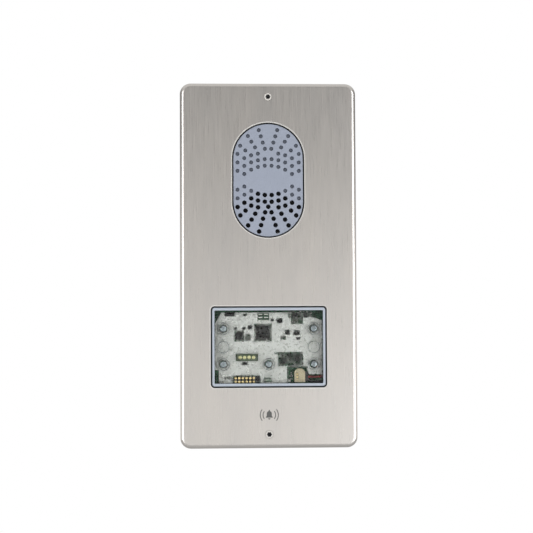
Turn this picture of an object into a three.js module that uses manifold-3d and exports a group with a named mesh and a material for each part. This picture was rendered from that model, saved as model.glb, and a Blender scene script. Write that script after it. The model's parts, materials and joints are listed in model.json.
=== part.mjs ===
// Door intercom panel: a shallow stainless tray with a speech grille and a window over its board.
// Millimetres. X to the right, Z up, the face looks along -Y and the wall plane is y = 0.
import * as THREE from 'three';
import { mergeVertices } from 'three/addons/utils/BufferGeometryUtils.js';
import Module from 'manifold-3d';

const wasm = await Module();
wasm.setup();

// ---------- driving dimensions ----------

const PLATE = { width: 122, height: 252, depth: 6, sheet: 1.5, corner: 7.5, edge: 3 };
const FACE = -PLATE.depth;
const CARRIER = { front: -4.2, clearance: 0.4, cornerCut: 1.2, rebateFloor: -2, pocketFloor: -2.2 };
const GRILLE = { width: 50, height: 80, z: 58.5 };
const WINDOW = { width: 80, height: 56, corner: 2.7, z: -56.6 };
const OPENING_CHAMFER = 0.4;

const FRONT_SCREW_Z = 116.5;
const FRONT_SCREW = { head: 2.6, shank: 1.45, end: 14 };
const STUDS = [[-52, 100], [52, 100], [-52, -100], [52, -100]];
const STUD_R = 1.45;

const INSERT = { front: -5.2, back: -2.1, gap: 0.9, flange: 3, flangeFront: -3.6 };
const LIP_GAP = 0.2;
const GASKET = { front: -4.4, back: -3.7, lipFront: -5.55 };
const HOLE = { r: 1.6, dimpleR: 1.35, dimpleDepth: 1.2, pitch: 4.72, sides: 6, upperPull: 0.98 };

const BEZEL = { width: 78, height: 54, corner: 1.7, front: -5.4, lipBack: -4.2, back: -2.1 };
const SIGHT = { width: 74.8, height: 50.2, corner: 0.5 };
const PANE = { width: 76.2, height: 51.6, front: -4.1, back: -2.5 };

const DIFFUSER = { width: 74.2, top: -32.9, bottom: -81.6, front: -1.6, back: -0.1 };
const SEAT = { r: 4.2, depth: 0.5 };
const POST = { x: 31.3, top: -44.1, middle: -56.8, bottom: -68.7 };
const FIXED_POSTS = [[-POST.x, POST.top], [POST.x, POST.top], [-POST.x, POST.bottom],
  [POST.x, POST.bottom], [0, POST.bottom]];
const EMPTY_POSTS = [[-POST.x, POST.middle], [POST.x, POST.middle]];

const BOARD = { width: 84, height: 60, front: 3, back: 4.6 };
const COVER = { width: 92, height: 67, wall: 2, back: 20, earX: 50.5, earDz: 24 };
const TERMINAL = { x: 0, z: -79.9, width: 32, height: 11, ways: 6, pitch: 5.08 };
const ADJUSTERS = { z: -36, program: 0, volume: 13, microphone: 25.5 };
const ADJUST_WINDOW = { x: 13, z: -36, width: 36, height: 11 };

const HOUSING = { width: 60, height: 90, flange: 104, wall: 2, back: 18, screwX: 22, screwDz: 48 };
const SPEAKER = { z: 46, r: 18, front: -0.3, magnetBack: 12.2 };
const MIC = { x: 6.4, z: 23, boot: 4.5, capsule: 3 };
const WIRE_R = 0.8;

const GAP = 0.1;
const BACK_PLANE = GAP; // rear shells start this far behind the wall plane
const FINE = 5;   // arc steps per curve on large outlines
const COARSE = 2; // arc steps per curve on small corners

// ---------- finishes ----------

const finish = (color, roughness, metalness = 0) =>
  new THREE.MeshStandardMaterial({ color, roughness, metalness });

const STEEL = () => finish(0xb9b4af, 0.34, 1);
const ZINC = () => finish(0xa9adb2, 0.4, 1);
const BLUE_GREY = () => finish(0x9ea7b6, 0.55);
const BLACK_PLASTIC = () => finish(0x26282a, 0.6);
const BLACK_RUBBER = () => finish(0x17191a, 0.8);
const CLEAR = () => finish(0xe8eef0, 0.05);
const FROSTED = () => finish(0xa8b0a8, 0.5);
const BOARD_GREEN = () => finish(0x1f4a35, 0.5);
const GOLD = () => finish(0xc9a94f, 0.35, 1);
const IVORY = () => finish(0xd9cfae, 0.5);

// ---------- outlines, drawn with x to the right and z up ----------

function roundedRect(width, height, r) {
  const [x, z] = [width / 2 - r, height / 2 - r];
  const outline = new THREE.Shape();
  outline.moveTo(x + r, -z);
  outline.lineTo(x + r, z);
  outline.absarc(x, z, r, 0, Math.PI / 2);
  outline.lineTo(-x, z + r);
  outline.absarc(-x, z, r, Math.PI / 2, Math.PI);
  outline.lineTo(-x - r, -z);
  outline.absarc(-x, -z, r, Math.PI, 1.5 * Math.PI);
  outline.lineTo(x, -z - r);
  outline.absarc(x, -z, r, 1.5 * Math.PI, 2 * Math.PI);
  return outline;
}

const stadium = (width, height) => roundedRect(width, height, width / 2 - 0.001);

function polygon(points) {
  return new THREE.Shape(points.map(([x, z]) => new THREE.Vector2(x, z)));
}

// ---------- solids ----------

function welded(geometry) {
  geometry.deleteAttribute('normal');
  geometry.deleteAttribute('uv');
  const merged = mergeVertices(geometry, 1e-4);
  const index = merged.index.array;
  const kept = [];
  for (let i = 0; i < index.length; i += 3) {
    const [a, b, c] = index.slice(i, i + 3);
    if (a !== b && b !== c && c !== a) kept.push(a, b, c);
  }
  merged.setIndex(kept);
  return merged;
}

function solid(geometry) {
  const closed = welded(geometry);
  return new wasm.Manifold(new wasm.Mesh({
    numProp: 3,
    vertProperties: new Float32Array(closed.attributes.position.array),
    triVerts: new Uint32Array(closed.index.array),
  }));
}

function geometryOf(body) {
  const { vertProperties, triVerts } = body.getMesh();
  const geometry = new THREE.BufferGeometry();
  geometry.setAttribute('position', new THREE.BufferAttribute(new Float32Array(vertProperties), 3));
  geometry.setIndex(new THREE.BufferAttribute(new Uint32Array(triVerts), 1));
  const faceted = geometry.toNonIndexed();
  faceted.computeVertexNormals();
  return faceted;
}

const join = (first, ...rest) => rest.reduce((whole, next) => whole.add(next), first);
const cut = (first, ...rest) => rest.reduce((whole, next) => whole.subtract(next), first);

// An outline between two depths, the front one being the lower y.
function slab(outline, front, back, steps = COARSE) {
  const options = { depth: back - front, bevelEnabled: false, curveSegments: steps };
  const geometry = new THREE.ExtrudeGeometry(outline, options);
  return solid(geometry.rotateX(Math.PI / 2).translate(0, back, 0));
}

function box(x0, x1, y0, y1, z0, z1) {
  const geometry = new THREE.BoxGeometry(x1 - x0, y1 - y0, z1 - z0);
  return solid(geometry.translate((x0 + x1) / 2, (y0 + y1) / 2, (z0 + z1) / 2));
}

const block = (x, z, width, height, front, back) =>
  box(x - width / 2, x + width / 2, front, back, z - height / 2, z + height / 2);

function rod(x, z, r, front, back, sides = 10) {
  const geometry = new THREE.CylinderGeometry(r, r, back - front, sides);
  return solid(geometry.translate(x, (front + back) / 2, z));
}

// A turned shape about the depth axis: [radius, y] pairs from the front to the back of the axis.
function turned(profile, x = 0, z = 0, sides = 10) {
  const points = profile.map(([r, y]) => new THREE.Vector2(r, y));
  return solid(new THREE.LatheGeometry(points, sides).translate(x, 0, z));
}

// A turned ring: the profile closes on itself, clear of the axis.
const ring = (inner, outer, front, back, x = 0, z = 0, sides = 24) =>
  turned([[inner, front], [outer, front], [outer, back], [inner, back], [inner, front]], x, z, sides);

// A rounded rectangle whose front edge is rounded or chamfered and whose back is cut flat.
function softFront(width, height, corner, front, back, edge, edgeSteps, steps = COARSE) {
  const outline = roundedRect(width - 2 * edge, height - 2 * edge, corner - edge);
  const options = { depth: back - front - edge, curveSegments: steps, bevelSegments: edgeSteps,
    bevelThickness: edge, bevelSize: edge };
  const geometry = new THREE.ExtrudeGeometry(outline, options);
  const whole = solid(geometry.rotateX(Math.PI / 2).translate(0, back, 0));
  return cut(whole, box(-width, width, back, back + 2 * edge, -height, height));
}

// The same with the soft edge at the back, as on a rear shell.
function softBack(width, height, corner, front, back, edge, edgeSteps) {
  const shape = softFront(width, height, corner, -back, -front, edge, edgeSteps);
  return shape.rotate([0, 0, 180]);
}

// Cuts an opening with a chamfered rim in the face of the plate.
function openingCutter(outline, steps) {
  const outside = 2;
  const through = slab(outline, FACE - outside, CARRIER.front, steps);
  const options = { depth: outside, curveSegments: steps, bevelSegments: 1,
    bevelThickness: OPENING_CHAMFER, bevelSize: OPENING_CHAMFER };
  const flare = new THREE.ExtrudeGeometry(outline, options);
  return through.add(solid(flare.rotateX(Math.PI / 2).translate(0, FACE, 0)));
}

const atGrille = (body) => body.translate([0, 0, GRILLE.z]);
const atWindow = (body) => body.translate([0, 0, WINDOW.z]);

// ---------- the plate and what fixes it ----------

function frontPlate() {
  const { width, height, sheet, corner, edge } = PLATE;
  const inside = [width - 2 * sheet, height - 2 * sheet, corner - sheet];
  const tray = cut(
    softFront(width, height, corner, FACE, 0, edge, 5, 3),
    softFront(...inside, FACE + sheet, 1, edge - sheet, 2, 3),
    atGrille(openingCutter(stadium(GRILLE.width, GRILLE.height), FINE)),
    atWindow(openingCutter(roundedRect(WINDOW.width, WINDOW.height, WINDOW.corner), COARSE)),
    ...[1, -1].map((side) => screwSink(side * FRONT_SCREW_Z)),
  );
  const studs = STUDS.map(([x, z]) => weldedStud(x, z));
  return join(tray, ...studs);
}

function screwSink(z) {
  const [rim, hole, deep] = [FRONT_SCREW.head + 0.3, FRONT_SCREW.shank + 0.35, FACE + 1.3];
  return turned([[0, FACE - 1], [rim, FACE - 1], [rim, FACE + 0.1], [hole, deep],
    [hole, CARRIER.front], [0, CARRIER.front]], 0, z, 16);
}

function weldedStud(x, z) {
  const root = FACE + PLATE.sheet;
  return rod(x, z, STUD_R, root - 0.3, -0.2, 8);
}

function frontScrew() {
  const { head, shank, end } = FRONT_SCREW;
  const top = FACE + 0.1;
  const body = turned([[0, top], [head, top], [head, top + 0.2], [shank, top + 1.2],
    [shank, end - 1], [shank - 0.5, end], [0, end]], 0, 0, 16);
  const socket = rod(0, 0, 1.35, top - 1, top + 1, 6);
  return join(cut(body, socket), rod(0, 0, 0.4, top + 0.2, top + 1.1, 8));
}

const screwRetainer = () => ring(FRONT_SCREW.shank + 0.2, 3.6, -1.2, -0.3, 0, 0, 12);

function studNut() {
  const hexagon = rod(0, 0, 3.1, -2.5, -GAP, 6);
  return cut(hexagon, rod(0, 0, STUD_R + 0.15, -3, 1, 12));
}

// ---------- the moulded carrier behind the plate ----------

function carrierFrame() {
  const inset = 2 * (PLATE.sheet + CARRIER.clearance);
  const corner = PLATE.corner - PLATE.sheet - CARRIER.clearance;
  const blank = softFront(PLATE.width - inset, PLATE.height - inset, corner, CARRIER.front, 0,
    CARRIER.cornerCut, 1);
  const holder = rod(MIC.x, MIC.z, MIC.boot + 1.1, -1.5, 0, 20);
  const opened = cut(blank, ...grilleSeatCutters(), ...windowSeatCutters(), ...carrierHoles(),
    ...carrierPockets());
  return cut(join(opened, holder), rod(MIC.x, MIC.z, MIC.boot + 0.2, -3, 1, 20), datumGroove());
}

// Sets off a small round pad in the middle of the back, where the panel is measured from.
const datumGroove = () => ring(3, 4.2, -0.4, 1, 0, 0, 11);

function grilleSeatCutters() {
  const flange = GRILLE.width - 2 * INSERT.gap + 2 * INSERT.flange + 3;
  const tall = flange + GRILLE.height - GRILLE.width;
  return [
    atGrille(slab(stadium(flange, tall), CARRIER.front - 1, CARRIER.rebateFloor, FINE)),
    atGrille(slab(stadium(46, 76), CARRIER.front - 1, 1, FINE)),
  ];
}

function windowSeatCutters() {
  const [width, height] = [BEZEL.width + 9, BEZEL.height + 9];
  return [
    atWindow(slab(roundedRect(width, height, 4.5), CARRIER.front - 1, CARRIER.rebateFloor)),
    atWindow(slab(roundedRect(75, 50.4, 0.6), CARRIER.front - 1, 1)),
  ];
}

function carrierHoles() {
  const front = CARRIER.front - 1;
  const [screwBoss, nutPocket] = [4.2, 4];
  const fixing = [FRONT_SCREW_Z, -FRONT_SCREW_Z].flatMap((z) =>
    [rod(0, z, FRONT_SCREW.shank + 0.45, front, 1), rod(0, z, screwBoss, -1.5, 1, 16)]);
  const studs = STUDS.flatMap(([x, z]) =>
    [rod(x, z, STUD_R + 0.55, front, 1, 8), rod(x, z, nutPocket, -2.6, 1, 12)]);
  const pilots = [...housingScrewPlaces(), ...coverScrewPlaces()].map(([x, z]) =>
    rod(x, z, 1.4, -3.4, 1, 8));
  return [...fixing, ...studs, ...pilots];
}

// Cored-out pockets in the back of the carrier, left and right: [x, z, width, height].
function carrierPockets() {
  const places = [[31, 117.3, 38, 8], [44, 55, 17, 74], [40, -7.5, 27, 17], [28, -107, 34, 17]];
  const pocket = ([x, z, width, height]) =>
    slab(roundedRect(width, height, 2), CARRIER.pocketFloor, 1, 1).translate([x, 0, z]);
  return places.flatMap((place) => [pocket(place), pocket([-place[0], ...place.slice(1)])]);
}

// ---------- speech grille ----------

// Holes of one half, as [x, distance from the grille's middle]. Straight columns near the middle
// turn into rings of a fan about the middle of the round end.
const COLUMN_ROWS = [[10.25, 14.9], [9.4, 14.1, 18.8], [7.4, 12.6, 17.6], [4.4, 10.1, 15.6],
  [6.6, 12.6, 18.6]];
const FAN_RINGS = [[7.6, [17]], [12.25, [17.4, 47.6]], [16.9, [17.3, 43.3, 68.9]],
  [21.5, [17.3, 40.6, 64]]];
const FAN_CENTRE = (GRILLE.height - GRILLE.width) / 2;
const MIDDLE_HOLE = 18.4;
const BLIND_BELOW = [0, 0, 1, 2, 2]; // blind holes of each lower column, counted from the middle

function halfPattern() {
  const columns = COLUMN_ROWS.flatMap((rows, column) => rows.map((away, row) =>
    ({ x: (column + 0.5) * HOLE.pitch, away, blindBelow: row < BLIND_BELOW[column] })));
  const fan = FAN_RINGS.flatMap(([r, angles]) => angles.map((angle) => {
    const turn = THREE.MathUtils.degToRad(angle);
    return { x: r * Math.sin(turn), away: FAN_CENTRE + r * Math.cos(turn), blindBelow: false };
  }));
  return [...columns, ...fan];
}

function grilleHoles() {
  const through = [[0, -MIDDLE_HOLE]];
  const blind = [];
  for (const { x, away, blindBelow } of halfPattern()) {
    const up = HOLE.upperPull * away;
    blind.push([x, up], [-x, up]);
    (blindBelow ? blind : through).push([x, -away], [-x, -away]);
  }
  return { through, blind };
}

function grilleInsert() {
  const { front, back, gap, flange, flangeFront } = INSERT;
  const [width, height] = [GRILLE.width - 2 * gap, GRILLE.height - 2 * gap];
  const boss = softFront(width, height, width / 2 - 0.001, front, back, 0.3, 1, FINE);
  const rim = slab(stadium(width + 2 * flange + 2, height + 2 * flange + 2), flangeFront, back, FINE);
  const { through, blind } = grilleHoles();
  const drill = ([x, z], r, floor) => rod(x, z, r, front - 1, floor, HOLE.sides);
  const drills = [...through.map((place) => drill(place, HOLE.r, back + 1)),
    ...blind.map((place) => drill(place, HOLE.dimpleR, front + HOLE.dimpleDepth))];
  return atGrille(cut(join(boss, rim), ...drills));
}

// A flat gasket with a lip that stands up in the slot between plate and insert.
function lippedGasket(outline, inner, outer, lip, steps) {
  const flat = slab(outline(...outer), GASKET.front, GASKET.back, steps);
  const upright = slab(outline(...lip), GASKET.lipFront, GASKET.back, steps);
  return cut(join(flat, upright), slab(outline(...inner), FACE, 0, steps));
}

function grilleGasket() {
  const [width, height] = [GRILLE.width - 2 * INSERT.gap, GRILLE.height - 2 * INSERT.gap];
  const grown = (by) => [width + by, height + by];
  const lip = [GRILLE.width - 2 * LIP_GAP, GRILLE.height - 2 * LIP_GAP];
  return atGrille(lippedGasket(stadium, grown(0.4), grown(8), lip, FINE));
}

const acousticMesh = () => atGrille(slab(stadium(45, 75), -1.95, -1.75, 4));

// ---------- window ----------

function windowBezel() {
  const { width, height, corner, front, lipBack, back } = BEZEL;
  const frame = softFront(width, height, corner, front, back, 0.3, 1);
  const flange = slab(roundedRect(width + 8, height + 8, 4), INSERT.flangeFront, back);
  const pocket = roundedRect(PANE.width + 0.4, PANE.height + 0.4, 0.8);
  return atWindow(cut(join(frame, flange), slab(pocket, lipBack, 0),
    slab(roundedRect(SIGHT.width, SIGHT.height, SIGHT.corner), FACE, 0)));
}

function windowGasket() {
  const { width, height } = BEZEL;
  const inner = [width + 0.4, height + 0.4, 1.9];
  const lip = [WINDOW.width - 2 * LIP_GAP, WINDOW.height - 2 * LIP_GAP, WINDOW.corner - LIP_GAP];
  return atWindow(lippedGasket(roundedRect, inner, [width + 8, height + 8, 4], lip, COARSE));
}

const windowPane = () =>
  atWindow(slab(roundedRect(PANE.width, PANE.height, 0.6), PANE.front, PANE.back));

// ---------- frosted diffuser with its screws ----------

function diffuserOutline() {
  const { top, bottom } = DIFFUSER;
  const edge = DIFFUSER.width / 2;
  return polygon([[-edge, -40.5], [-35.2, -37.2], [-32.6, top], [-30, top], [-30, -35.2],
    [-23.6, -35.2], [-23.6, top], [27.4, top], [30.5, -36.2], [edge, -38.4], [edge, -80.2],
    [28.4, -80.2], [28.4, -78.8], [35.9, -78.8], [35.9, -75.9], [28, -75.9], [26, -71.2],
    [17.4, -71.2], [13.4, -73.4], [13.4, bottom], [-9.2, bottom], [-9.2, -76.8], [-24.4, -76.8],
    [-24.4, bottom], [-34.5, bottom], [-34.5, -72.6], [-edge, -72.6]]);
}

function diffuser() {
  const { front, back } = DIFFUSER;
  const posts = [...FIXED_POSTS, ...EMPTY_POSTS];
  const spacers = FIXED_POSTS.map(([x, z]) => rod(x, z, 2.5, back - 0.5, BOARD.front - GAP));
  const seats = posts.map(([x, z]) => rod(x, z, SEAT.r, front - 1, front + SEAT.depth, 16));
  const holes = FIXED_POSTS.map(([x, z]) => rod(x, z, 1.3, front - 1, BOARD.front + 1));
  const windows = [box(-22.7, -7.5, front - 1, back + 1, -66.4, -61.5),
    box(-7.5, 0.4, front - 1, back + 1, -38.5, -33.6)];
  return cut(join(slab(diffuserOutline(), front, back), ...spacers), ...seats, ...holes, ...windows);
}

// A self-tapping screw: round head, shank and point, head underside at y = 0, pointing to +Y.
function tappingScrew(head, headHeight, shank, length) {
  const body = turned([[0, -headHeight], [head * 0.7, -headHeight], [head, -headHeight * 0.4],
    [head, 0], [shank, 0], [shank, length - 1.2], [0, length]], 0, 0, 8);
  return cut(body, box(-head, head, -headHeight - 1, -headHeight * 0.5, -0.3, 0.3));
}

// ---------- reflector film on the board, as large as the diffuser, cut out round the parts ----------

const FILM = { front: 2.6, back: 2.8 };
const FILM_CUTOUTS = { // left, right, bottom and top of each
  processor: [-9.9, 2.3, -53, -40.8],
  memory: [-23.6, -17, -53, -45.4],
  memoryParts: [-16.3, -12.3, -52.4, -47.6],
  crystal: [-24, -21.8, -45, -43],
  filters: [-18.2, -15.8, -44.8, -43.2],
  inductor: [-14.4, -11.4, -44.6, -41.8],
  header: [-24.9, -5.9, -82.6, -76.4],
  contacts: [-22.9, -7.3, -66.6, -61.3],
  topStripes: [-7.6, 0.6, -38.8, -33.2],
  topLeftParts: [-30.4, -23.2, -35.6, -31],
  topMark: [-18, -14.8, -35.3, -33.9],
  topRightParts: [13.7, 31, -36.6, -31],
  rightParts: [15.8, 24.2, -41, -36.5],
  choke: [5.8, 9.8, -40.4, -37],
  bead: [1.6, 3.8, -39.2, -37.2],
  regulator: [17.6, 21.6, -48.8, -45.2],
  diode: [11.6, 15, -48.4, -45],
  resistors: [8.4, 12.2, -52, -49.2],
  jumper: [19.4, 22.2, -51.8, -50.2],
  driverParts: [6.6, 24.2, -70, -60.4],
  driverLabel: [4, 6.7, -61.8, -60.6],
  testPoint: [-18.4, -14.4, -69.4, -67.2],
  resistorRow: [-30.4, -25.8, -79, -77.2],
  label: [-2.9, 2.1, -76.6, -75.6],
  stripes: [-3.5, 2.5, -81.2, -77.9],
  connectorCorner: [12.8, 27, -82.6, -70.4],
  leadExit: [26.9, 39, -82.6, -75.7],
};

function reflectorFilm() {
  const sheet = slab(diffuserOutline(), FILM.front, FILM.back);
  const cuts = Object.values(FILM_CUTOUTS).map(([left, right, bottom, top]) =>
    box(left, right, FILM.front - 1, FILM.back + 1, bottom, top));
  const posts = FIXED_POSTS.map(([x, z]) => rod(x, z, 2.9, FILM.front - 1, FILM.back + 1));
  return cut(sheet, ...cuts, ...posts);
}

// ---------- circuit board, front side ----------

function mainBoard() {
  const { width, height, front, back } = BOARD;
  const holes = FIXED_POSTS.map(([x, z]) => rod(x, z, 1.3, front - 1, back + 1));
  return cut(atWindow(slab(roundedRect(width, height, 1.5), front, back)), ...holes);
}

const chip = (x, z, width, height, thickness) =>
  block(x, z, width, height, BOARD.front - GAP - thickness, BOARD.front - GAP);

function pinHeader() {
  const [first, pitch, columns, topRow] = [-22.95, 2.54, 6, -78.2];
  const middle = first + pitch * (columns - 1) / 2;
  const bottomRow = topRow - pitch;
  const seat = block(middle, topRow - pitch / 2, pitch * columns + 0.2, 5, 0.4, BOARD.front - GAP);
  const pins = [];
  for (let column = 0; column < columns; column += 1) {
    for (const z of [topRow, bottomRow]) {
      pins.push(block(first + column * pitch, z, 0.64, 0.64, -2.1, 1));
    }
  }
  return join(seat, ...pins);
}

function contactStrip() {
  const [x, z, pitch] = [-15.1, -63.9, 3.1];
  const body = block(x, z, 14.4, 4.4, -0.7, BOARD.front - GAP);
  const dome = (step) => turned([[0, -1.3], [0.6, -1.2], [1, -0.8], [1, 0], [0, 0]],
    x + step * pitch, z, 8);
  return join(body, ...[-1.5, -0.5, 0.5, 1.5].map(dome));
}

function speakerConnector() {
  const outline = polygon([[17.8, -81.2], [25.2, -81.2], [25.2, -74.4], [24.4, -72.6], [22.8, -71.6],
    [20.2, -71.6], [18.6, -72.6], [17.8, -74.4]]);
  const body = slab(outline, -0.5, BOARD.front - GAP);
  const mouth = box(20.6, 26, 0.3, 2.4, -81.3 + 0.6, -73.6);
  return cut(body, mouth, box(19, 20.6, -1, 0.6, -79.6, -74.6));
}

const speakerPlug = () => box(20.9, 27.4, 0.5, 2.2, -80.5, -73.9);

// ---------- circuit board, back side ----------

const behindBoard = (x, z, width, height, depth) =>
  block(x, z, width, height, BOARD.back + GAP, BOARD.back + GAP + depth);

function terminalSocket() {
  const { x, z, width, height } = TERMINAL;
  const shell = behindBoard(x, z, width + 0.8, height + 0.8, 8.4);
  return cut(shell, block(x, z, width - 1.2, height - 2, 7, 14));
}

function terminalPlug() {
  const { x, z, width, height, ways, pitch } = TERMINAL;
  const [step, rear] = [13.5, 22];
  const body = join(block(x, z, width - 1.8, height - 2.6, 7.4, step + 0.1),
    block(x, z, width, height, step, rear));
  const cutters = [];
  for (let way = 0; way < ways; way += 1) {
    const at = x + (way - (ways - 1) / 2) * pitch;
    cutters.push(block(at, z - 2.4, 3.2, 3.4, rear - 5, rear + 1));
    cutters.push(rod(at, z + 2.6, 1.7, rear - 2, rear + 1));
  }
  return cut(body, ...cutters);
}

function lockRelay() {
  const [x, z, width, height, depth] = [-20.5, -55.5, 20, 15, 11.3];
  return join(behindBoard(x, z, width, height, depth),
    behindBoard(x, z, width - 1, height - 1, depth + 0.3));
}

const capacitor = () => turned([[0, BOARD.back + GAP], [4, BOARD.back + GAP], [4, 5.6], [3.7, 5.9],
  [4, 6.2], [4, 15.6], [3.6, 16], [0, 16]], 0, 0, 14);

function trimmerBase() {
  return cut(behindBoard(0, 0, 9.6, 9.6, 4.8), rod(0, 0, 2, 6, 11, 16));
}

function trimmerKnob() {
  const body = turned([[0, 6.4], [1.6, 6.4], [1.6, 9.9], [3.2, 9.9], [3.2, 15.1], [2.8, 15.5],
    [0, 15.5]], 0, 0, 16);
  return cut(body, box(-2.4, 2.4, 14.2, 16, -0.5, 0.5));
}

const programSwitch = () => cut(behindBoard(0, 0, 6.2, 6.2, 3.4), rod(0, 0, 2, 5.6, 9, 16));

const programButton = () => turned([[0, 6.6], [1.6, 6.6], [1.6, 12.7], [1.3, 13], [0, 13]]);

// ---------- rear cover of the electronics ----------

function coverScrewPlaces() {
  return [-1, 1].flatMap((side) => [-1, 1].map((up) =>
    [side * COVER.earX, WINDOW.z + up * COVER.earDz]));
}

function electronicsCover() {
  const { width, height, wall, back } = COVER;
  const shell = atWindow(cut(softBack(width, height, 4, BACK_PLANE, back, 1, 1),
    slab(roundedRect(width - 2 * wall, height - 2 * wall, 2.5), -1, back - wall)));
  const posts = FIXED_POSTS.map(([x, z]) => rod(x, z, 3, BOARD.back + GAP, back - 1));
  const ears = coverScrewPlaces().map(([x, z]) => coverEar(x, z));
  const pilots = FIXED_POSTS.map(([x, z]) => rod(x, z, 1.3, BOARD.back, 14));
  return cut(join(shell, ...posts, ...ears, adjusterWell()), ...pilots, ...coverOpenings());
}

// Walls round the adjusters that close the rest of the cover off from the window over them.
function adjusterWell() {
  const { x, z, width, height } = ADJUST_WINDOW;
  const [wall, front] = [1.2, BOARD.back + 0.4];
  return cut(block(x, z, width + 2 * wall, height + 2 * wall, front, COVER.back - 1),
    block(x, z, width, height, front - 1, COVER.back + 1));
}

function coverEar(x, z) {
  const inner = Math.sign(x) * (COVER.width / 2 - 1);
  const tab = box(Math.min(x, inner), Math.max(x, inner), BACK_PLANE, 2.6, z - 4.5, z + 4.5);
  return cut(join(tab, rod(x, z, 4.5, BACK_PLANE, 2.6, 16)), rod(x, z, 1.6, -1, 4));
}

function coverOpenings() {
  const { x, z, width, height } = TERMINAL;
  const deep = COVER.back - COVER.wall - 1;
  const { x: ax, z: az, width: aw, height: ah } = ADJUST_WINDOW;
  const vents = [-28, -24.5, -21, -17.5, -14].map((at) => block(at, -36, 1.6, 11, deep, COVER.back + 1));
  const leadNotch = box(38.6, 43.8, -1, 3.4, WINDOW.z + COVER.height / 2 - 3, -20);
  const fields = [recess(0, -57, 80, 14, COVER.back), recess(-31.5, -78, 23, 16, COVER.back),
    recess(31.5, -78, 23, 16, COVER.back)];
  return [block(x, z, width + 2, height + 2, deep, COVER.back + 1),
    block(ax, az, aw, ah, deep, COVER.back + 1), leadNotch, ...vents, ...fields];
}

// A shallow field sunk into the back of a shell.
const recess = (x, z, width, height, back) =>
  slab(roundedRect(width, height, 2.5), back - 0.8, back + 1).translate([x, 0, z]);

// ---------- speaker and its housing ----------

function housingScrewPlaces() {
  return [-1, 1].flatMap((side) => [-1, 1].map((up) =>
    [side * HOUSING.screwX, GRILLE.z + up * HOUSING.screwDz]));
}

function speakerHousing() {
  const { width, height, flange, wall, back } = HOUSING;
  const cavity = slab(roundedRect(width - 2 * wall, height - 2 * wall, 4), -1, back - wall);
  const shell = atGrille(cut(join(softBack(width, height, 6, BACK_PLANE, back, 1.5, 2),
    slab(roundedRect(width, flange, 6), BACK_PLANE, 2.6)), cavity));
  const clamp = ring(6, 9, SPEAKER.magnetBack + 0.2, back - wall + 0.5, 0, SPEAKER.z, 20);
  const holes = housingScrewPlaces().map(([x, z]) => rod(x, z, 1.6, -1, 4));
  const bottom = GRILLE.z - flange / 2;
  const leadNotch = box(11.2, 18, -1, 3.4, bottom - 1, bottom + 10);
  const fields = [-25, 0, 25].map((up) => recess(0, GRILLE.z + up, 46, 21, back));
  return cut(join(shell, clamp), ...holes, leadNotch, ...fields);
}

const speakerGasket = () => ring(14.6, 17.6, -1.6, SPEAKER.front - GAP);

function speakerBasket() {
  const { r, front } = SPEAKER;
  const bowl = turned([[14.6, front], [r, front], [r, 0.7], [16.4, 0.7], [11, 6.4], [6.7, 6.4],
    [6.7, 5.6], [10.4, 5.6], [14.6, 1.2], [14.6, front]], 0, 0, 24);
  return join(bowl, box(5.2, 12.4, 0.6, 1.4, -17.6, -14.6));
}

const speakerMagnet = () => turned([[0, 6.6], [5.1, 6.6], [5.1, 10.2], [6.5, 10.2], [6.5, 6.6],
  [10, 6.6], [10, SPEAKER.magnetBack], [0, SPEAKER.magnetBack]], 0, 0, 20);

const speakerCone = () => turned([[0, -0.1], [3.5, 0.5], [6, 1.9], [12.2, 0.5], [13.2, 0], [14.2, 0.5],
  [14.2, 0.9], [13.2, 0.4], [12.4, 0.9], [6.2, 2.4], [3.4, 0.9], [0, 0.3]], 0, 0, 20);

const voiceCoil = () => ring(5.5, 6.1, 2.7, 9.2, 0, 0, 16);

// ---------- microphone ----------

const microphoneBoot = () => {
  const r = MIC.capsule + 0.15;
  return turned([[2, -1.5], [MIC.boot, -1.5], [MIC.boot, 5], [r, 5], [r, -0.9], [2, -0.9], [2, -1.5]],
    0, 0, 16);
};

const microphoneCapsule = () => turned([[0, -0.8], [2.7, -0.8], [MIC.capsule, -0.5],
  [MIC.capsule, 2.6], [0, 2.6]], 0, 0, 16);

// ---------- speaker leads, along the front of the board and up the back of the carrier ----------

function lead(points) {
  const route = new THREE.CatmullRomCurve3(points.map((point) => new THREE.Vector3(...point)), false,
    'centripetal');
  const sides = 6;
  const circle = Array.from({ length: sides }, (_, i) => {
    const turn = 2 * Math.PI * i / sides;
    return new THREE.Vector2(WIRE_R * Math.cos(turn), WIRE_R * Math.sin(turn));
  });
  return solid(new THREE.ExtrudeGeometry(new THREE.Shape(circle), { steps: 34, extrudePath: route }));
}

const redLead = () => lead([[27.5, 1.35, -77.6], [29, 1.35, -77.6], [34, 1.5, -77.6],
  [38.6, 1.6, -76.8], [40.3, 1.6, -73], [40.3, 1.6, -60], [40.3, 1.6, -40], [40.3, 1.6, -26],
  [39.6, 1.6, -17], [34, 1.6, -8], [24, 1.6, -2], [16, 1.6, 3], [12.7, 1.6, 8], [12.5, 1.6, 16],
  [12.5, 1.8, 22], [10.8, 2.4, 27], [9.9, 2.2, 30]]);

const blackLead = () => lead([[27.5, 1.35, -79.7], [29, 1.35, -79.9], [33, 1.5, -81],
  [39.4, 1.6, -80.6], [41.9, 1.6, -77.4], [42, 1.6, -60], [42, 1.6, -40], [42, 1.6, -26],
  [41.4, 1.6, -16], [35.5, 1.6, -6.4], [25, 1.6, -0.2], [18, 1.6, 4.4], [14.4, 1.6, 9],
  [14.2, 1.6, 16], [14.2, 1.8, 23], [13.8, 2.4, 26.6], [11.6, 2.2, 30.2]]);

// ---------- assembly ----------

const assembly = new THREE.Group();

function place(name, body, material, x = 0, y = 0, z = 0, parent = assembly) {
  const mesh = new THREE.Mesh(geometryOf(body), material);
  mesh.name = name;
  mesh.position.set(x, y, z);
  parent.add(mesh);
}

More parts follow.
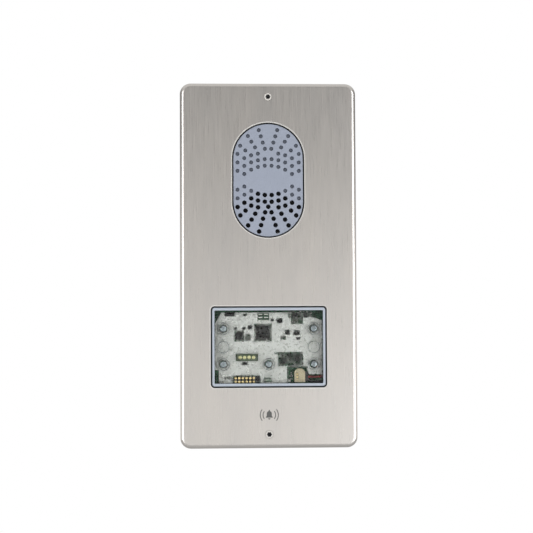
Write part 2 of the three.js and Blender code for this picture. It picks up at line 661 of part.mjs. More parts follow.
function placeFixings() {
  for (const [end, z] of [['top', FRONT_SCREW_Z], ['bottom', -FRONT_SCREW_Z]]) {
    place(`front_screw_${end}`, frontScrew(), ZINC(), 0, 0, z);
    place(`screw_retainer_${end}`, screwRetainer(), BLACK_PLASTIC(), 0, 0, z);
  }
  STUDS.forEach(([x, z], i) => place(`stud_nut_${i + 1}`, studNut(), ZINC(), x, 0, z));
  FIXED_POSTS.forEach(([x, z], i) => place(`diffuser_screw_${i + 1}`, tappingScrew(2.2, 0.9, 1, 13),
    ZINC(), x, DIFFUSER.front + SEAT.depth - GAP, z));
  coverScrewPlaces().forEach(([x, z], i) => place(`cover_screw_${i + 1}`,
    tappingScrew(2.6, 1.6, 1.2, 5.6).rotate([0, 0, 180]), ZINC(), x, 2.7, z));
  housingScrewPlaces().forEach(([x, z], i) => place(`housing_screw_${i + 1}`,
    tappingScrew(2.6, 1.6, 1.2, 5.6).rotate([0, 0, 180]), ZINC(), x, 2.7, z));
}

function placeFront() {
  place('front_plate', frontPlate(), STEEL());
  place('carrier_frame', carrierFrame(), BLACK_PLASTIC());
  place('grille_insert', grilleInsert(), BLUE_GREY());
  place('grille_gasket', grilleGasket(), BLACK_RUBBER());
  place('acoustic_mesh', acousticMesh(), BLACK_RUBBER());
  place('window_bezel', windowBezel(), BLUE_GREY());
  place('window_gasket', windowGasket(), BLACK_RUBBER());
  place('window_pane', windowPane(), CLEAR());
  place('light_diffuser', diffuser(), FROSTED());
  place('reflector_film', reflectorFilm(), finish(0xa5aaa4, 0.7));
}

function placeBoard() {
  place('main_board', mainBoard(), BOARD_GREEN());
  place('processor_chip', chip(-3.8, -46.9, 10, 10, 1.4), BLACK_PLASTIC());
  place('memory_chip', chip(-20.3, -49.2, 5.4, 5.6, 1.7), BLACK_PLASTIC());
  place('pin_header', pinHeader(), GOLD());
  place('contact_strip', contactStrip(), GOLD());
  place('speaker_connector', speakerConnector(), IVORY());
  place('speaker_plug', speakerPlug(), BLACK_PLASTIC());
  place('terminal_socket', terminalSocket(), finish(0x2f7d4a, 0.5));
  place('terminal_plug', terminalPlug(), finish(0x35a05a, 0.5));
  place('lock_relay', lockRelay(), finish(0x2f5f9a, 0.5));
  place('filter_capacitor_1', capacitor(), finish(0x1d2230, 0.4), 12, 0, -56);
  place('filter_capacitor_2', capacitor(), finish(0x1d2230, 0.4), 22.5, 0, -58);
}

function placeAdjusters() {
  for (const name of ['volume', 'microphone']) {
    const group = new THREE.Group();
    group.position.set(ADJUSTERS[name], 0, ADJUSTERS.z);
    assembly.add(group);
    place(`${name}_trimmer`, trimmerBase(), finish(0x2b3a66, 0.5), 0, 0, 0, group);
    place(`${name}_knob`, trimmerKnob(), finish(0xe6e2d8, 0.5), 0, 0, 0, group);
  }
  place('program_switch', programSwitch(), BLACK_PLASTIC(), ADJUSTERS.program, 0, ADJUSTERS.z);
  place('program_button', programButton(), finish(0xb5382c, 0.5), ADJUSTERS.program, 0, ADJUSTERS.z);
}

function placeSpeaker() {
  const group = new THREE.Group();
  group.position.set(0, 0, SPEAKER.z);
  assembly.add(group);
  place('speaker_gasket', speakerGasket(), BLACK_RUBBER(), 0, 0, 0, group);
  place('speaker_basket', speakerBasket(), ZINC(), 0, 0, 0, group);
  place('speaker_magnet', speakerMagnet(), ZINC(), 0, 0, 0, group);
  place('speaker_cone', speakerCone(), finish(0xd8d2c4, 0.4), 0, 0, 0, group);
  place('voice_coil', voiceCoil(), finish(0xb06a3a, 0.4, 1), 0, 0, 0, group);
  place('speaker_lead_red', redLead(), finish(0x9a1f1c, 0.5));
  place('speaker_lead_black', blackLead(), finish(0x151515, 0.5));
}

placeFront();
placeFixings();
placeBoard();
placeAdjusters();
placeSpeaker();
place('microphone_boot', microphoneBoot(), BLACK_RUBBER(), MIC.x, 0, MIC.z);
place('microphone_capsule', microphoneCapsule(), ZINC(), MIC.x, 0, MIC.z);
place('electronics_cover', electronicsCover(), BLACK_PLASTIC());
place('speaker_housing', speakerHousing(), BLACK_PLASTIC());

export default assembly;
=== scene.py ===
"""Looks of a flush door intercom panel: brushed steel tray, oval speech grille and a clear window."""

import json
import math
import random

import bmesh
import bpy
from mathutils import Matrix, Vector

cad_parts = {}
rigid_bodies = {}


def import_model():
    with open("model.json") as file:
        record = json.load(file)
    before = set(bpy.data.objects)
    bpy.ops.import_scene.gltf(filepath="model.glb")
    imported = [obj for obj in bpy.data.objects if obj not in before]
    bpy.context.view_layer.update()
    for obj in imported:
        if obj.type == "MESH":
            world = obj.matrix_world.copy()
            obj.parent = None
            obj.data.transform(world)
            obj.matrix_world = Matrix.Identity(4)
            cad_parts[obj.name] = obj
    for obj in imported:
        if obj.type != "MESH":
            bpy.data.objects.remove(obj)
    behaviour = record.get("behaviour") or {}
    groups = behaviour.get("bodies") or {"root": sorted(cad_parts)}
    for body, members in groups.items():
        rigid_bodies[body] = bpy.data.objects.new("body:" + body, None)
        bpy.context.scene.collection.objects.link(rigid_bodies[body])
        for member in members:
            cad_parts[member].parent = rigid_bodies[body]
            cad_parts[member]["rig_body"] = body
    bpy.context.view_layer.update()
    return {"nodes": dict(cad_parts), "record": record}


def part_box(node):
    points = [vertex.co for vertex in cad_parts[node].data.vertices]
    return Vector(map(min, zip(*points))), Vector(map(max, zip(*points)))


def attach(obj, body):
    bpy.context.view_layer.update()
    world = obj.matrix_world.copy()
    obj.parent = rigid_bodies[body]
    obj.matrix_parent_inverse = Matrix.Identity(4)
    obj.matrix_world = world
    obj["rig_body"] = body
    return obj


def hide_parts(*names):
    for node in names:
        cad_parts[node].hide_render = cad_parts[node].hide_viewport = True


MM = 0.001
TURN = 2 * math.pi
ROOT = "panel"

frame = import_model()
SLOT_OF = {part["node"]: part["material_slot"] for part in frame["record"]["subparts"]}


def span(node):
    """A CAD node's box in millimetres: left, right, front, back, bottom, top."""
    low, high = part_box(node)
    return [value / MM for pair in zip(low, high) for value in pair]


def centre(node):
    """The middle of a CAD node, seen from the front: x, z."""
    left, right, _, _, bottom, top = span(node)
    return (left + right) / 2, (bottom + top) / 2


# ---------- outlines: lists of (x, z) in millimetres, anticlockwise ----------

def arc(cx, cz, r, start, end, steps):
    angles = [math.radians(start + (end - start) * i / steps) for i in range(steps + 1)]
    return [(cx + r * math.cos(a), cz + r * math.sin(a)) for a in angles]


def circle(cx, cz, r, sides=24):
    return arc(cx, cz, r, 0, 360, sides)[:-1]


def rounded_rect(width, height, corner, steps=8, cx=0, cz=0):
    x, z = width / 2 - corner, height / 2 - corner
    centres = [(x, z, 0), (-x, z, 90), (-x, -z, 180), (x, -z, 270)]
    return [point for dx, dz, start in centres
            for point in arc(cx + dx, cz + dz, corner, start, start + 90, steps)]


def stadium(width, height, steps=32, cx=0, cz=0):
    r, reach = width / 2, (height - width) / 2
    return arc(cx, cz + reach, r, 0, 180, steps) + arc(cx, cz - reach, r, 180, 360, steps)


def inset_circle(cx, cz, r, sides):
    """An outline(inset) for Solid.skin."""
    return lambda inset: circle(cx, cz, r - inset, sides)


def inset_rect(width, height, corner, steps, cx=0, cz=0):
    """An outline(inset) for Solid.skin."""
    return lambda inset: rounded_rect(width - 2 * inset, height - 2 * inset, corner - inset, steps,
                                      cx, cz)


def filleted(points, r, steps=4):
    """A polygon with every corner rounded to radius r, or less where an edge is short."""
    outline = []
    for i, point in enumerate(points):
        here = Vector(point)
        before, after = Vector(points[i - 1]) - here, Vector(points[(i + 1) % len(points)]) - here
        half = before.angle(after) / 2
        reach = min(r / math.tan(half), 0.45 * before.length, 0.45 * after.length)
        start, end = here + before.normalized() * reach, here + after.normalized() * reach
        for step in range(steps + 1):
            t = step / steps
            outline.append(tuple(start * (1 - t) ** 2 + here * 2 * t * (1 - t) + end * t ** 2))
    return outline


def soft_edge(r, steps=4):
    """A quarter round as (distance in from the wall, depth below the face), wall end first."""
    angles = [math.pi / 2 * i / steps for i in range(steps + 1)]
    return [(r * (1 - math.cos(a)), r * (1 - math.sin(a))) for a in angles]


# ---------- meshes ----------

class Solid:
    """A mesh drawn in millimetres: x to the right, y into the wall, z up."""

    def __init__(self):
        self.bm = bmesh.new()
        self.slot = 0

    def face(self, corners):
        face = self.bm.faces.new(corners)
        face.material_index = self.slot

    def loop(self, outline, y):
        return [self.bm.verts.new((x * MM, y * MM, z * MM)) for x, z in outline]

    def bridge(self, *loops):
        for first, second in zip(loops, loops[1:]):
            for i in range(len(first)):
                j = (i + 1) % len(first)
                self.face((first[i], first[j], second[j], second[i]))

    def fill(self, *loops):
        """Closes the flat area inside the first loop and outside the others."""
        edges = []
        for loop in loops:
            for start, end in zip(loop, loop[1:] + loop[:1]):
                edges.append(self.bm.edges.get((start, end)) or self.bm.edges.new((start, end)))
        made = bmesh.ops.triangle_fill(self.bm, use_beauty=True, edges=edges)
        for item in made["geom"]:
            if isinstance(item, bmesh.types.BMFace):
                item.material_index = self.slot

    def skin(self, outline, profile):
        """Loops of outline(inset) at each (inset, y) of a profile, bridged; returns them."""
        loops = [self.loop(outline(inset), y) for inset, y in profile]
        self.bridge(*loops)
        return loops

    def cap(self, *loops):
        """Closes each loop with one face."""
        for loop in loops:
            self.face(loop)

    def printed(self, outline, depths):
        """A thin flat print between two depths."""
        loops = [self.loop(outline, y) for y in depths]
        self.bridge(*loops)
        self.cap(*loops)

    def turned(self, profile, cx=0, cz=0, sides=24):
        """Turns (radius, y) pairs about the depth axis, closed at the ends that meet the axis."""
        loops = [self.loop(circle(cx, cz, r, sides), y) for r, y in profile if r > 0]
        self.bridge(*loops)
        for (r, y), loop in ((profile[0], loops[0]), (profile[-1], loops[-1])):
            if r == 0:
                tip = self.bm.verts.new((cx * MM, y * MM, cz * MM))
                for i in range(sides):
                    self.face((loop[i], loop[(i + 1) % sides], tip))

    def ring(self, profile, cx=0, cz=0, sides=32):
        """Turns a profile that closes on itself, clear of the axis."""
        loops = [self.loop(circle(cx, cz, r, sides), y) for r, y in profile]
        self.bridge(*loops, loops[0])

    def block(self, x0, x1, y0, y1, z0, z1, edge=0.15, steps=2):
        """A box with all its edges rounded."""
        edge = min(edge, 0.45 * min(x1 - x0, y1 - y0, z1 - z0))
        part = bmesh.new()
        bmesh.ops.create_cube(part, size=1)
        size = Vector((x1 - x0, y1 - y0, z1 - z0)) * MM
        middle = Vector((x0 + x1, y0 + y1, z0 + z1)) * MM / 2
        for vert in part.verts:
            vert.co = middle + Vector(vert.co[i] * size[i] for i in range(3))
        bmesh.ops.bevel(part, geom=part.edges[:], offset=edge * MM, segments=steps, profile=0.5,
                        affect="EDGES")
        self.add(part)

    def add(self, part):
        """Takes in another mesh, under the current material."""
        part.verts.index_update()
        copies = [self.bm.verts.new(vert.co) for vert in part.verts]
        for face in part.faces:
            self.face([copies[vert.index] for vert in face.verts])
        part.free()

    def thread(self, r, depth, pitch, start, end, cx=0, cz=0, sides=16, rows=6):
        """A screw thread along the depth axis, closed at both ends."""
        count = int((end - start) / pitch * rows)
        loops = []
        for row in range(count + 1):
            y = start + (end - start) * row / count
            fade = min(1, (end - y) / (2 * pitch), (y - start) / pitch)
            loop = []
            for side in range(sides):
                phase = ((y - start) / pitch - side / sides) % 1
                radius = r - depth * (1 - fade * (1 - abs(2 * phase - 1)))
                angle = TURN * side / sides
                loop.append(self.bm.verts.new(((cx + radius * math.cos(angle)) * MM, y * MM,
                                               (cz + radius * math.sin(angle)) * MM)))
            loops.append(loop)
        self.bridge(*loops)
        self.cap(loops[0], loops[-1])

    def piece(self, name, materials, *nodes, slot=None, body=None, sharp=40):
        """Makes the object; it stands for the CAD nodes and rides on their body."""
        bmesh.ops.recalc_face_normals(self.bm, faces=self.bm.faces)
        mesh = bpy.data.meshes.new(name)
        self.bm.to_mesh(mesh)
        self.bm.free()
        return add_piece(name, mesh, materials, nodes, body, sharp)


def linked(name, data):
    obj = bpy.data.objects.new(name, data)
    bpy.context.scene.collection.objects.link(obj)
    return obj


def add_piece(name, mesh, materials, nodes, body=None, sharp=40):
    for material in materials:
        mesh.materials.append(material)
    if not mesh.has_custom_normals:
        mesh.shade_smooth()
        mesh.set_sharp_from_angle(angle=math.radians(sharp))
    obj = linked(name, mesh)
    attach(obj, body or frame["nodes"][nodes[0]]["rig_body"])
    if nodes:
        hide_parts(*nodes)
    return obj


def refined(node, material, width=0.25, steps=2):
    """A CAD node's own shape with its doubled points merged and its edges softened."""
    bm = bmesh.new()
    bm.from_mesh(frame["nodes"][node].data)
    bmesh.ops.remove_doubles(bm, verts=bm.verts, dist=0.002 * MM)
    bmesh.ops.recalc_face_normals(bm, faces=bm.faces)
    source = bpy.data.meshes.new(node)
    bm.to_mesh(source)
    bm.free()
    source.shade_smooth()
    rough = linked(node, source)
    bevel = rough.modifiers.new("soft edges", "BEVEL")
    bevel.width = width * MM
    bevel.segments = steps
    bevel.limit_method = "ANGLE"
    bevel.angle_limit = math.radians(38)
    weigh = rough.modifiers.new("flat faces stay flat", "WEIGHTED_NORMAL")
    weigh.weight = 100
    graph = bpy.context.evaluated_depsgraph_get()
    mesh = bpy.data.meshes.new_from_object(rough.evaluated_get(graph))
    bpy.data.objects.remove(rough)
    mesh.materials.clear()
    return add_piece(f"{node}_shell", mesh, [material], [node])


def tube(name, points, r, material, node, sides=12):
    """A round lead along a smooth route of (x, y, z) points in millimetres."""
    route = smooth_route([Vector(point) for point in points], 6)
    solid = Solid()
    loops = []
    for i, here in enumerate(route):
        ahead = (route[min(i + 1, len(route) - 1)] - route[max(i - 1, 0)]).normalized()
        side = ahead.cross(Vector((0, 1, 0))).normalized()
        up = side.cross(ahead)
        loops.append([solid.bm.verts.new((here + r * (side * math.cos(a) + up * math.sin(a))) * MM)
                      for a in (TURN * k / sides for k in range(sides))])
    solid.bridge(*loops)
    solid.cap(loops[0], loops[-1])
    return solid.piece(name, [material], node)


def smooth_route(points, steps):
    route = []
    for i in range(len(points) - 1):
        a, b = points[max(i - 1, 0)], points[i]
        c, d = points[i + 1], points[min(i + 2, len(points) - 1)]
        for step in range(steps):
            t = step / steps
            route.append(0.5 * ((2 * b) + (c - a) * t + (2 * a - 5 * b + 4 * c - d) * t ** 2
                                + (3 * b - a - 3 * c + d) * t ** 3))
    return route + [points[-1]]


# ---------- materials ----------

class Finish:
    """A Principled material with helpers for its texture nodes."""

    def __init__(self, name, color, roughness, metallic=0.0, **sockets):
        self.material = bpy.data.materials.new(name)
        self.material.use_nodes = True
        self.tree = self.material.node_tree
        self.shader = self.tree.nodes["Principled BSDF"]
        self.set(self.shader, {"Base Color": (*color, 1), "Roughness": roughness,
                               "Metallic": metallic, **sockets})
        self.color = color

    def set(self, node, values):
        for socket, value in values.items():
            node.inputs[socket].default_value = value

    def node(self, kind, values=None, **settings):
        node = self.tree.nodes.new(kind)
        for key, value in settings.items():
            setattr(node, key, value)
        self.set(node, values or {})
        return node

    def link(self, output, target):
        self.tree.links.new(output, target)

    def places(self, stretch=(1, 1, 1)):
        coordinates = self.node("ShaderNodeTexCoord")
        mapping = self.node("ShaderNodeMapping", {"Scale": stretch})
        self.link(coordinates.outputs["Object"], mapping.inputs["Vector"])
        return mapping.outputs["Vector"]

    def noise(self, per_mm, stretch=(1, 1, 1), detail=4, roughness=0.55):
        """Noise with about this many features per millimetre."""
        node = self.node("ShaderNodeTexNoise",
                         {"Scale": per_mm / MM, "Detail": detail, "Roughness": roughness})
        self.link(self.places(stretch), node.inputs["Vector"])
        return node.outputs["Fac"]

    def ramp(self, value, low, high, start=0.3, end=0.7):
        """A value mapped to a grey or a colour."""
        node = self.node("ShaderNodeValToRGB")
        for stop, (position, color) in zip(node.color_ramp.elements, ((start, low), (end, high))):
            stop.position = position
            stop.color = (*color, 1) if hasattr(color, "__len__") else (color, color, color, 1)
        self.link(value, node.inputs["Fac"])
        return node.outputs["Color"]

    def vary_color(self, value, amount, start=0.3, end=0.7):
        low, high = (tuple(channel * k for channel in self.color) for k in (1 - amount, 1 + amount))
        self.link(self.ramp(value, low, high, start, end), self.shader.inputs["Base Color"])
        return self

    def vary_roughness(self, value, low, high):
        self.link(self.ramp(value, low, high), self.shader.inputs["Roughness"])
        return self

    def bump(self, value, height, strength=1.0):
        """Relief of this height in millimetres."""
        node = self.node("ShaderNodeBump", {"Distance": height * MM, "Strength": strength})
        self.link(value, node.inputs["Height"])
        self.link(node.outputs["Normal"], self.shader.inputs["Normal"])
        return self


def brushed_steel(name, color, roughness):
    """Stainless sheet with a fine upright grain and slow warmer and cooler clouds along it."""
    steel = Finish(name, color, roughness, 1.0)
    grain = steel.noise(3.2, (1, 1, 0.012), 6, 0.7)
    clouds = steel.noise(0.05, (1, 1, 0.25), 3)
    blend = steel.node("ShaderNodeMath", {1: 0.45}, operation="MULTIPLY")
    total = steel.node("ShaderNodeMath", operation="MULTIPLY_ADD")
    steel.link(clouds, blend.inputs[0])
    steel.link(grain, total.inputs[0])
    total.inputs[1].default_value = 0.55
    steel.link(blend.outputs[0], total.inputs[2])
    cool = tuple(channel * k for channel, k in zip(color, (0.93, 0.938, 0.95)))
    warm = tuple(channel * k for channel, k in zip(color, (1.07, 1.058, 1.042)))
    steel.link(steel.ramp(total.outputs[0], cool, warm), steel.shader.inputs["Base Color"])
    steel.vary_roughness(grain, roughness - 0.05, roughness + 0.06)
    return steel.bump(grain, 0.004, 0.6).material


def moulded(name, color, roughness=0.5, grain=2.5, relief=0.02, variation=0.08, **sockets):
    """Moulded plastic or rubber with a fine spark-eroded texture."""
    plastic = Finish(name, color, roughness, **sockets)
    texture = plastic.noise(grain, detail=3)
    plastic.vary_color(plastic.noise(0.12, detail=5), variation)
    plastic.vary_roughness(texture, max(roughness - 0.06, 0.02), roughness + 0.06)
    return plastic.bump(texture, relief, 0.5).material


def metal(name, color, roughness=0.3, variation=0.1, relief=0.004):
    plated = Finish(name, color, roughness, 1.0)
    plated.vary_color(plated.noise(0.6, detail=5), variation)
    plated.vary_roughness(plated.noise(2.2, detail=4), max(roughness - 0.08, 0.03), roughness + 0.1)
    return plated.bump(plated.noise(5, detail=3), relief, 0.5).material


def woven(name, color):
    """Open acoustic cloth: two crossed sets of threads."""
    cloth = Finish(name, color, 0.85)
    waves = []
    for direction in ("X", "Z"):
        wave = cloth.node("ShaderNodeTexWave", {"Scale": 1.1 / MM, "Distortion": 0.4},
                          bands_direction=direction)
        cloth.link(cloth.places(), wave.inputs["Vector"])
        waves.append(wave.outputs["Fac"])
    both = cloth.node("ShaderNodeMath", operation="MAXIMUM")
    cloth.link(waves[0], both.inputs[0])
    cloth.link(waves[1], both.inputs[1])
    cloth.vary_color(both.outputs[0], 0.4)
    return cloth.bump(both.outputs[0], 0.05, 0.7).material


def circuit(name):
    """Green solder mask over a pattern of copper tracks."""
    mask = Finish(name, (0.012, 0.075, 0.035), 0.35, **{"Specular IOR Level": 0.25})
    cells = mask.node("ShaderNodeTexVoronoi", {"Scale": 0.55 / MM}, distance="MANHATTAN",
                      feature="F1")
    mask.link(mask.places(), cells.inputs["Vector"])
    tracks = mask.ramp(cells.outputs["Distance"], (0.004, 0.02, 0.011), (0.014, 0.06, 0.028), 0.45, 0.55)
    mask.link(tracks, mask.shader.inputs["Base Color"])
    return mask.bump(cells.outputs["Distance"], 0.03, 0.4).material


STEEL = brushed_steel("brushed_steel_face", (0.575, 0.555, 0.535), 0.3)
# pale matt colour that paints a highlight along the cut edges of the plate's openings
CUT_EDGE_HIGHLIGHT = moulded("cut_edge_painted_highlight", (0.56, 0.55, 0.53), 0.35, 3.0, 0.002, 0.04)
ZINC = metal("zinc_plate", (0.62, 0.64, 0.67), 0.32)
BLUED_ZINC = metal("blued_zinc", (0.32, 0.37, 0.395), 0.35)
PALE_CONTACT = metal("pale_gold_contact", (0.6, 0.58, 0.33), 0.4, 0.05)
STAINLESS = moulded("blasted_screw", (0.5, 0.485, 0.46), 0.4, 3.0, 0.004, 0.1)
# near-black metal that paints shade into the screw recesses
RECESS_SHADE = metal("painted_recess_shade", (0.03, 0.03, 0.032), 0.5)
GUARD = moulded("dark_green_strip", (0.07, 0.1, 0.055), 0.4, 2.0, 0.01)
CERAMIC = moulded("ceramic_part", (0.035, 0.032, 0.03), 0.4, 2.0, 0.01, 0.3)
# opaque grey that paints the dark edge line of each clear guide seat
SEAT_RING_SHADE = moulded("guide_seat_painted_shade_ring", (0.3, 0.32, 0.32), 0.12, 2.0, 0.002)
GOLD = metal("gold_flash", (0.9, 0.74, 0.38), 0.32, 0.08)
SOLDER = metal("tinned_leg", (0.5, 0.5, 0.48), 0.4)
BLUE_GREY = moulded("blue_grey_moulding", (0.235, 0.262, 0.325), 0.45, 3.0, 0.008, 0.03)
PALE_GREY = moulded("pale_frame_moulding", (0.33, 0.37, 0.425), 0.35, 3.0, 0.006, 0.03)
BLACK = moulded("black_moulding", (0.035, 0.036, 0.039), 0.5, 1.6, 0.04)
RUBBER = moulded("black_seal", (0.009, 0.01, 0.011), 0.75, 1.4, 0.02, **{"Specular IOR Level": 0.2})
# darker copy of the grille blue-grey that paints shade into the blind dimples
DIMPLE_SHADE = moulded("blue_grey_painted_dimple_shade", (0.075, 0.088, 0.118), 0.5, 3.0, 0.008, 0.05)
RESIN = moulded("chip_moulding", (0.012, 0.012, 0.013), 0.5, 4.0, 0.01,
                **{"Specular IOR Level": 0.25})
IVORY = moulded("natural_nylon", (0.42, 0.37, 0.25), 0.45, 0.5, 0.01, 0.2)
WHITE = moulded("white_nylon", (0.5, 0.495, 0.48), 0.45, 2.0, 0.01)
GREEN = moulded("green_nylon", (0.02, 0.2, 0.07), 0.42, 2.0, 0.015)
BLUE = moulded("blue_case", (0.02, 0.1, 0.36), 0.35, 2.0, 0.01)
RED = moulded("red_key", (0.5, 0.03, 0.02), 0.35, 2.0, 0.01)
SLEEVE = moulded("shrink_sleeve", (0.02, 0.025, 0.055), 0.25, 0.8, 0.02)
FERRITE = moulded("plated_yoke", (0.3, 0.3, 0.31), 0.4, 1.5, 0.03)
CONE = moulded("formed_film", (0.6, 0.58, 0.5), 0.25, 0.6, 0.03)
COPPER = metal("enamelled_copper", (0.68, 0.28, 0.1), 0.28)
RED_LEAD = moulded("red_insulation", (0.22, 0.03, 0.032), 0.4, 1.0, 0.02)
BLACK_LEAD = moulded("black_insulation", (0.02, 0.02, 0.022), 0.4, 1.0, 0.02)
FILM = moulded("matt_reflector", (0.7, 0.705, 0.69), 0.7, 1.0, 0.01, 0.03)
BOARD = circuit("green_solder_mask")
CLOTH = woven("acoustic_cloth", (0.008, 0.008, 0.009))
INK = moulded("dark_grey_ink", (0.07, 0.072, 0.07), 0.5, 3.0, 0.004)
SILK = moulded("white_legend_ink", (0.75, 0.76, 0.72), 0.6, 3.0, 0.004)
CLEAR = moulded("clear_window", (0.99, 0.995, 0.99), 0.02, 0.03, 0.004, 0.005,
                **{"Transmission Weight": 1.0, "IOR": 1.18})
FROST = moulded("frosted_guide", (0.97, 0.985, 0.975), 0.28, 0.5, 0.004, 0.01,
                **{"Transmission Weight": 1.0, "IOR": 1.2})

# ---------- front plate ----------

PLATE_LEFT, PLATE_RIGHT, FACE, _, PLATE_BOTTOM, PLATE_TOP = span("front_plate")
PLATE_WIDTH, PLATE_HEIGHT = PLATE_RIGHT - PLATE_LEFT, PLATE_TOP - PLATE_BOTTOM
SHEET = 1.5
PLATE_CORNER = 7.5
PLATE_EDGE = 3.0
GRILLE_Z = 58.5
GRILLE_WIDTH, GRILLE_HEIGHT = 50, 80
WINDOW_Z = -56.6
WINDOW_WIDTH, WINDOW_HEIGHT, WINDOW_CORNER = 80, 56, 2.7
SCREW_Z = 116.5
SIGN_Z = -103.1
STUDS = [(-52, 100), (52, 100), (-52, -100), (52, -100)]


def grille_outline(inset):
    return stadium(GRILLE_WIDTH - 2 * inset, GRILLE_HEIGHT - 2 * inset, 32, 0, GRILLE_Z)


window_outline = inset_rect(WINDOW_WIDTH, WINDOW_HEIGHT, WINDOW_CORNER, 8, 0, WINDOW_Z)


def front_plate():
    """The drawn tray: rounded rim, two openings with a painted highlight on their cut edge, two countersinks,
    four studs.
    """
    plate = Solid()
    back = FACE + SHEET
    outer = plate.skin(
        inset_rect(PLATE_WIDTH, PLATE_HEIGHT, PLATE_CORNER, 12),
        [(SHEET + PLATE_EDGE / 2 + 0.2, back), (SHEET + PLATE_EDGE / 2, back),
         (SHEET + 0.45, back + 0.45), (SHEET, back + 1.5), (SHEET, -0.15),
         (SHEET - 0.15, 0), (0.15, 0), (0, -0.15)]
        + [(inset, FACE + depth) for inset, depth in soft_edge(PLATE_EDGE, 10)]
        + [(PLATE_EDGE + 0.15, FACE)])
    # painted highlight: the chamfer of each opening is pale matt, lighter than the brushed steel
    plate.slot = 1
    chamfer = 0.55
    wall_start = FACE + chamfer + 0.1
    openings = [plate.skin(outline, [(-chamfer - 0.12, FACE), (-chamfer, FACE), (0, FACE + chamfer),
                                     (0, wall_start)])
                for outline in (grille_outline, window_outline)]
    plate.slot = 0
    walls = [plate.skin(outline, [(0, wall_start), (0, back)])
             for outline in (grille_outline, window_outline)]
    sinks = [plate.skin(inset_circle(0, side * SCREW_Z, 2.9, 32),
                        [(-0.12, FACE), (0, FACE), (0.1, FACE + 0.12), (1.1, FACE + 1.3), (1.1, back)])
             for side in (1, -1)]
    plate.fill(outer[-1], *[loops[0] for loops in openings + sinks])
    plate.fill(outer[0], *[loops[-1] for loops in walls + sinks])
    bmesh.ops.remove_doubles(plate.bm, verts=plate.bm.verts, dist=0.001 * MM)
    for x, z in STUDS:
        plate.turned([(0, back - 0.2), (2, back - 0.2), (2, back + 0.4), (1.3, back + 0.7),
                      (1.3, back + 1), (0, back + 1)], x, z, 16)
        plate.thread(1.45, 0.18, 0.5, back + 0.9, -0.2, x, z, 14, 5)
    plate.piece("brushed_front_plate", [STEEL, CUT_EDGE_HIGHLIGHT], "front_plate")


def front_screw(end, side):
    """Captive countersunk screw with a six-lobed pin recess in painted shade and a rolled thread."""
    z = side * SCREW_Z
    top = FACE + 0.1
    screw = Solid()

    def lobes(inset):
        return [(r * math.cos(a), z + r * math.sin(a)) for a in (TURN * i / 48 for i in range(48))
                for r in [1.52 - inset + 0.16 * math.cos(6 * a)]]

    # painted shade: the recess walls and floor are near-black
    screw.slot = 1
    recess = screw.skin(lobes, [(-0.1, top), (0, top + 0.06), (0.02, top + 1.0), (0.5, top + 1.15)])
    screw.face(recess[-1])
    screw.slot = 0
    head = screw.skin(inset_circle(0, z, 2.6, 48),
                      [(0.12, top), (0.05, top + 0.03), (0, top + 0.12), (0.02, top + 0.22),
                       (1.1, top + 1.2), (1.1, top + 2.2)])
    screw.fill(head[0], recess[0])
    screw.face(head[-1])
    # painted shade: the pin in the recess is near-black too
    screw.slot = 1
    screw.turned([(0, top + 1.2), (0.45, top + 1.2), (0.45, top + 0.4), (0.36, top + 0.3),
                  (0, top + 0.3)], 0, z, 16)
    screw.slot = 0
    screw.thread(1.45, 0.22, 0.5, top + 2.0, 13.9, 0, z, 18, 6)
    screw.piece(f"captive_screw_{end}", [STAINLESS, RECESS_SHADE], f"front_screw_{end}")


# ---------- speech grille ----------

HOLE_R = 1.64
DIMPLE_R = 1.38
UPPER_PULL = 0.98
HOLE_PITCH = 4.72
DIMPLE_DEPTH = 1.2
FAN_CENTRE = 15
COLUMN_ROWS = [[10.25, 14.9], [9.4, 14.1, 18.8], [7.4, 12.6, 17.6], [4.4, 10.1, 15.6],
               [6.6, 12.6, 18.6]]
BLIND_BELOW = [0, 0, 1, 2, 2]
FAN_RINGS = [(7.6, [17]), (12.25, [17.4, 47.6]), (16.9, [17.3, 43.3, 68.9]),
             (21.5, [17.3, 40.6, 64])]


def hole_pattern():
    """Every speech hole as (x, z, goes through): straight columns that open into a fan at each end."""
    half = [((column + 0.5) * HOLE_PITCH, away, row < BLIND_BELOW[column])
            for column, rows in enumerate(COLUMN_ROWS) for row, away in enumerate(rows)]
    for r, angles in FAN_RINGS:
        for angle in map(math.radians, angles):
            half.append((r * math.sin(angle), FAN_CENTRE + r * math.cos(angle), False))
    holes = [(0, GRILLE_Z - 18.4, True)]
    for x, away, blind_below in half:
        for side in (1, -1):
            holes.append((side * x, GRILLE_Z + UPPER_PULL * away, False))
            holes.append((side * x, GRILLE_Z - away, not blind_below))
    return holes


def grille_insert():
    _, _, front, back, _, _ = span("grille_insert")
    gap, flange_front, flange, soft = 0.9, -3.6, 4.0, 0.35
    insert = Solid()
    outline = [(-flange, back), (-flange, flange_front + 0.1), (-flange + 0.1, flange_front),
               (0, flange_front)]
    outline += [(inset, front + depth) for inset, depth in soft_edge(soft, 3)]
    outline += [(soft + 0.1, front)]
    rim = insert.skin(lambda inset: grille_outline(gap + inset), outline)
    tops, bottoms = [], []
    edge = soft_edge(0.12, 2)
    for x, z, through in hole_pattern():
        wall = inset_circle(x, z, HOLE_R if through else DIMPLE_R, 20)
        mouth = insert.skin(wall, [(-0.2, front)] + [(-inset, front + depth)
                                                     for inset, depth in reversed(edge)])
        tops.append(mouth[0])
        if through:
            bottoms.append(insert.loop(wall(0), back))
            insert.bridge(mouth[-1], bottoms[-1])
            continue
        # painted shade: the dimple walls and floor take the darker blue-grey
        insert.slot = 1
        floor = insert.skin(wall, [(0.03, front + DIMPLE_DEPTH - 0.25), (0.25, front + DIMPLE_DEPTH)])
        insert.bridge(mouth[-1], floor[0])
        insert.face(floor[-1])
        insert.slot = 0
    insert.fill(rim[-1], *tops)
    insert.fill(rim[0], *bottoms)
    insert.piece("speech_grille", [BLUE_GREY, DIMPLE_SHADE], "grille_insert")


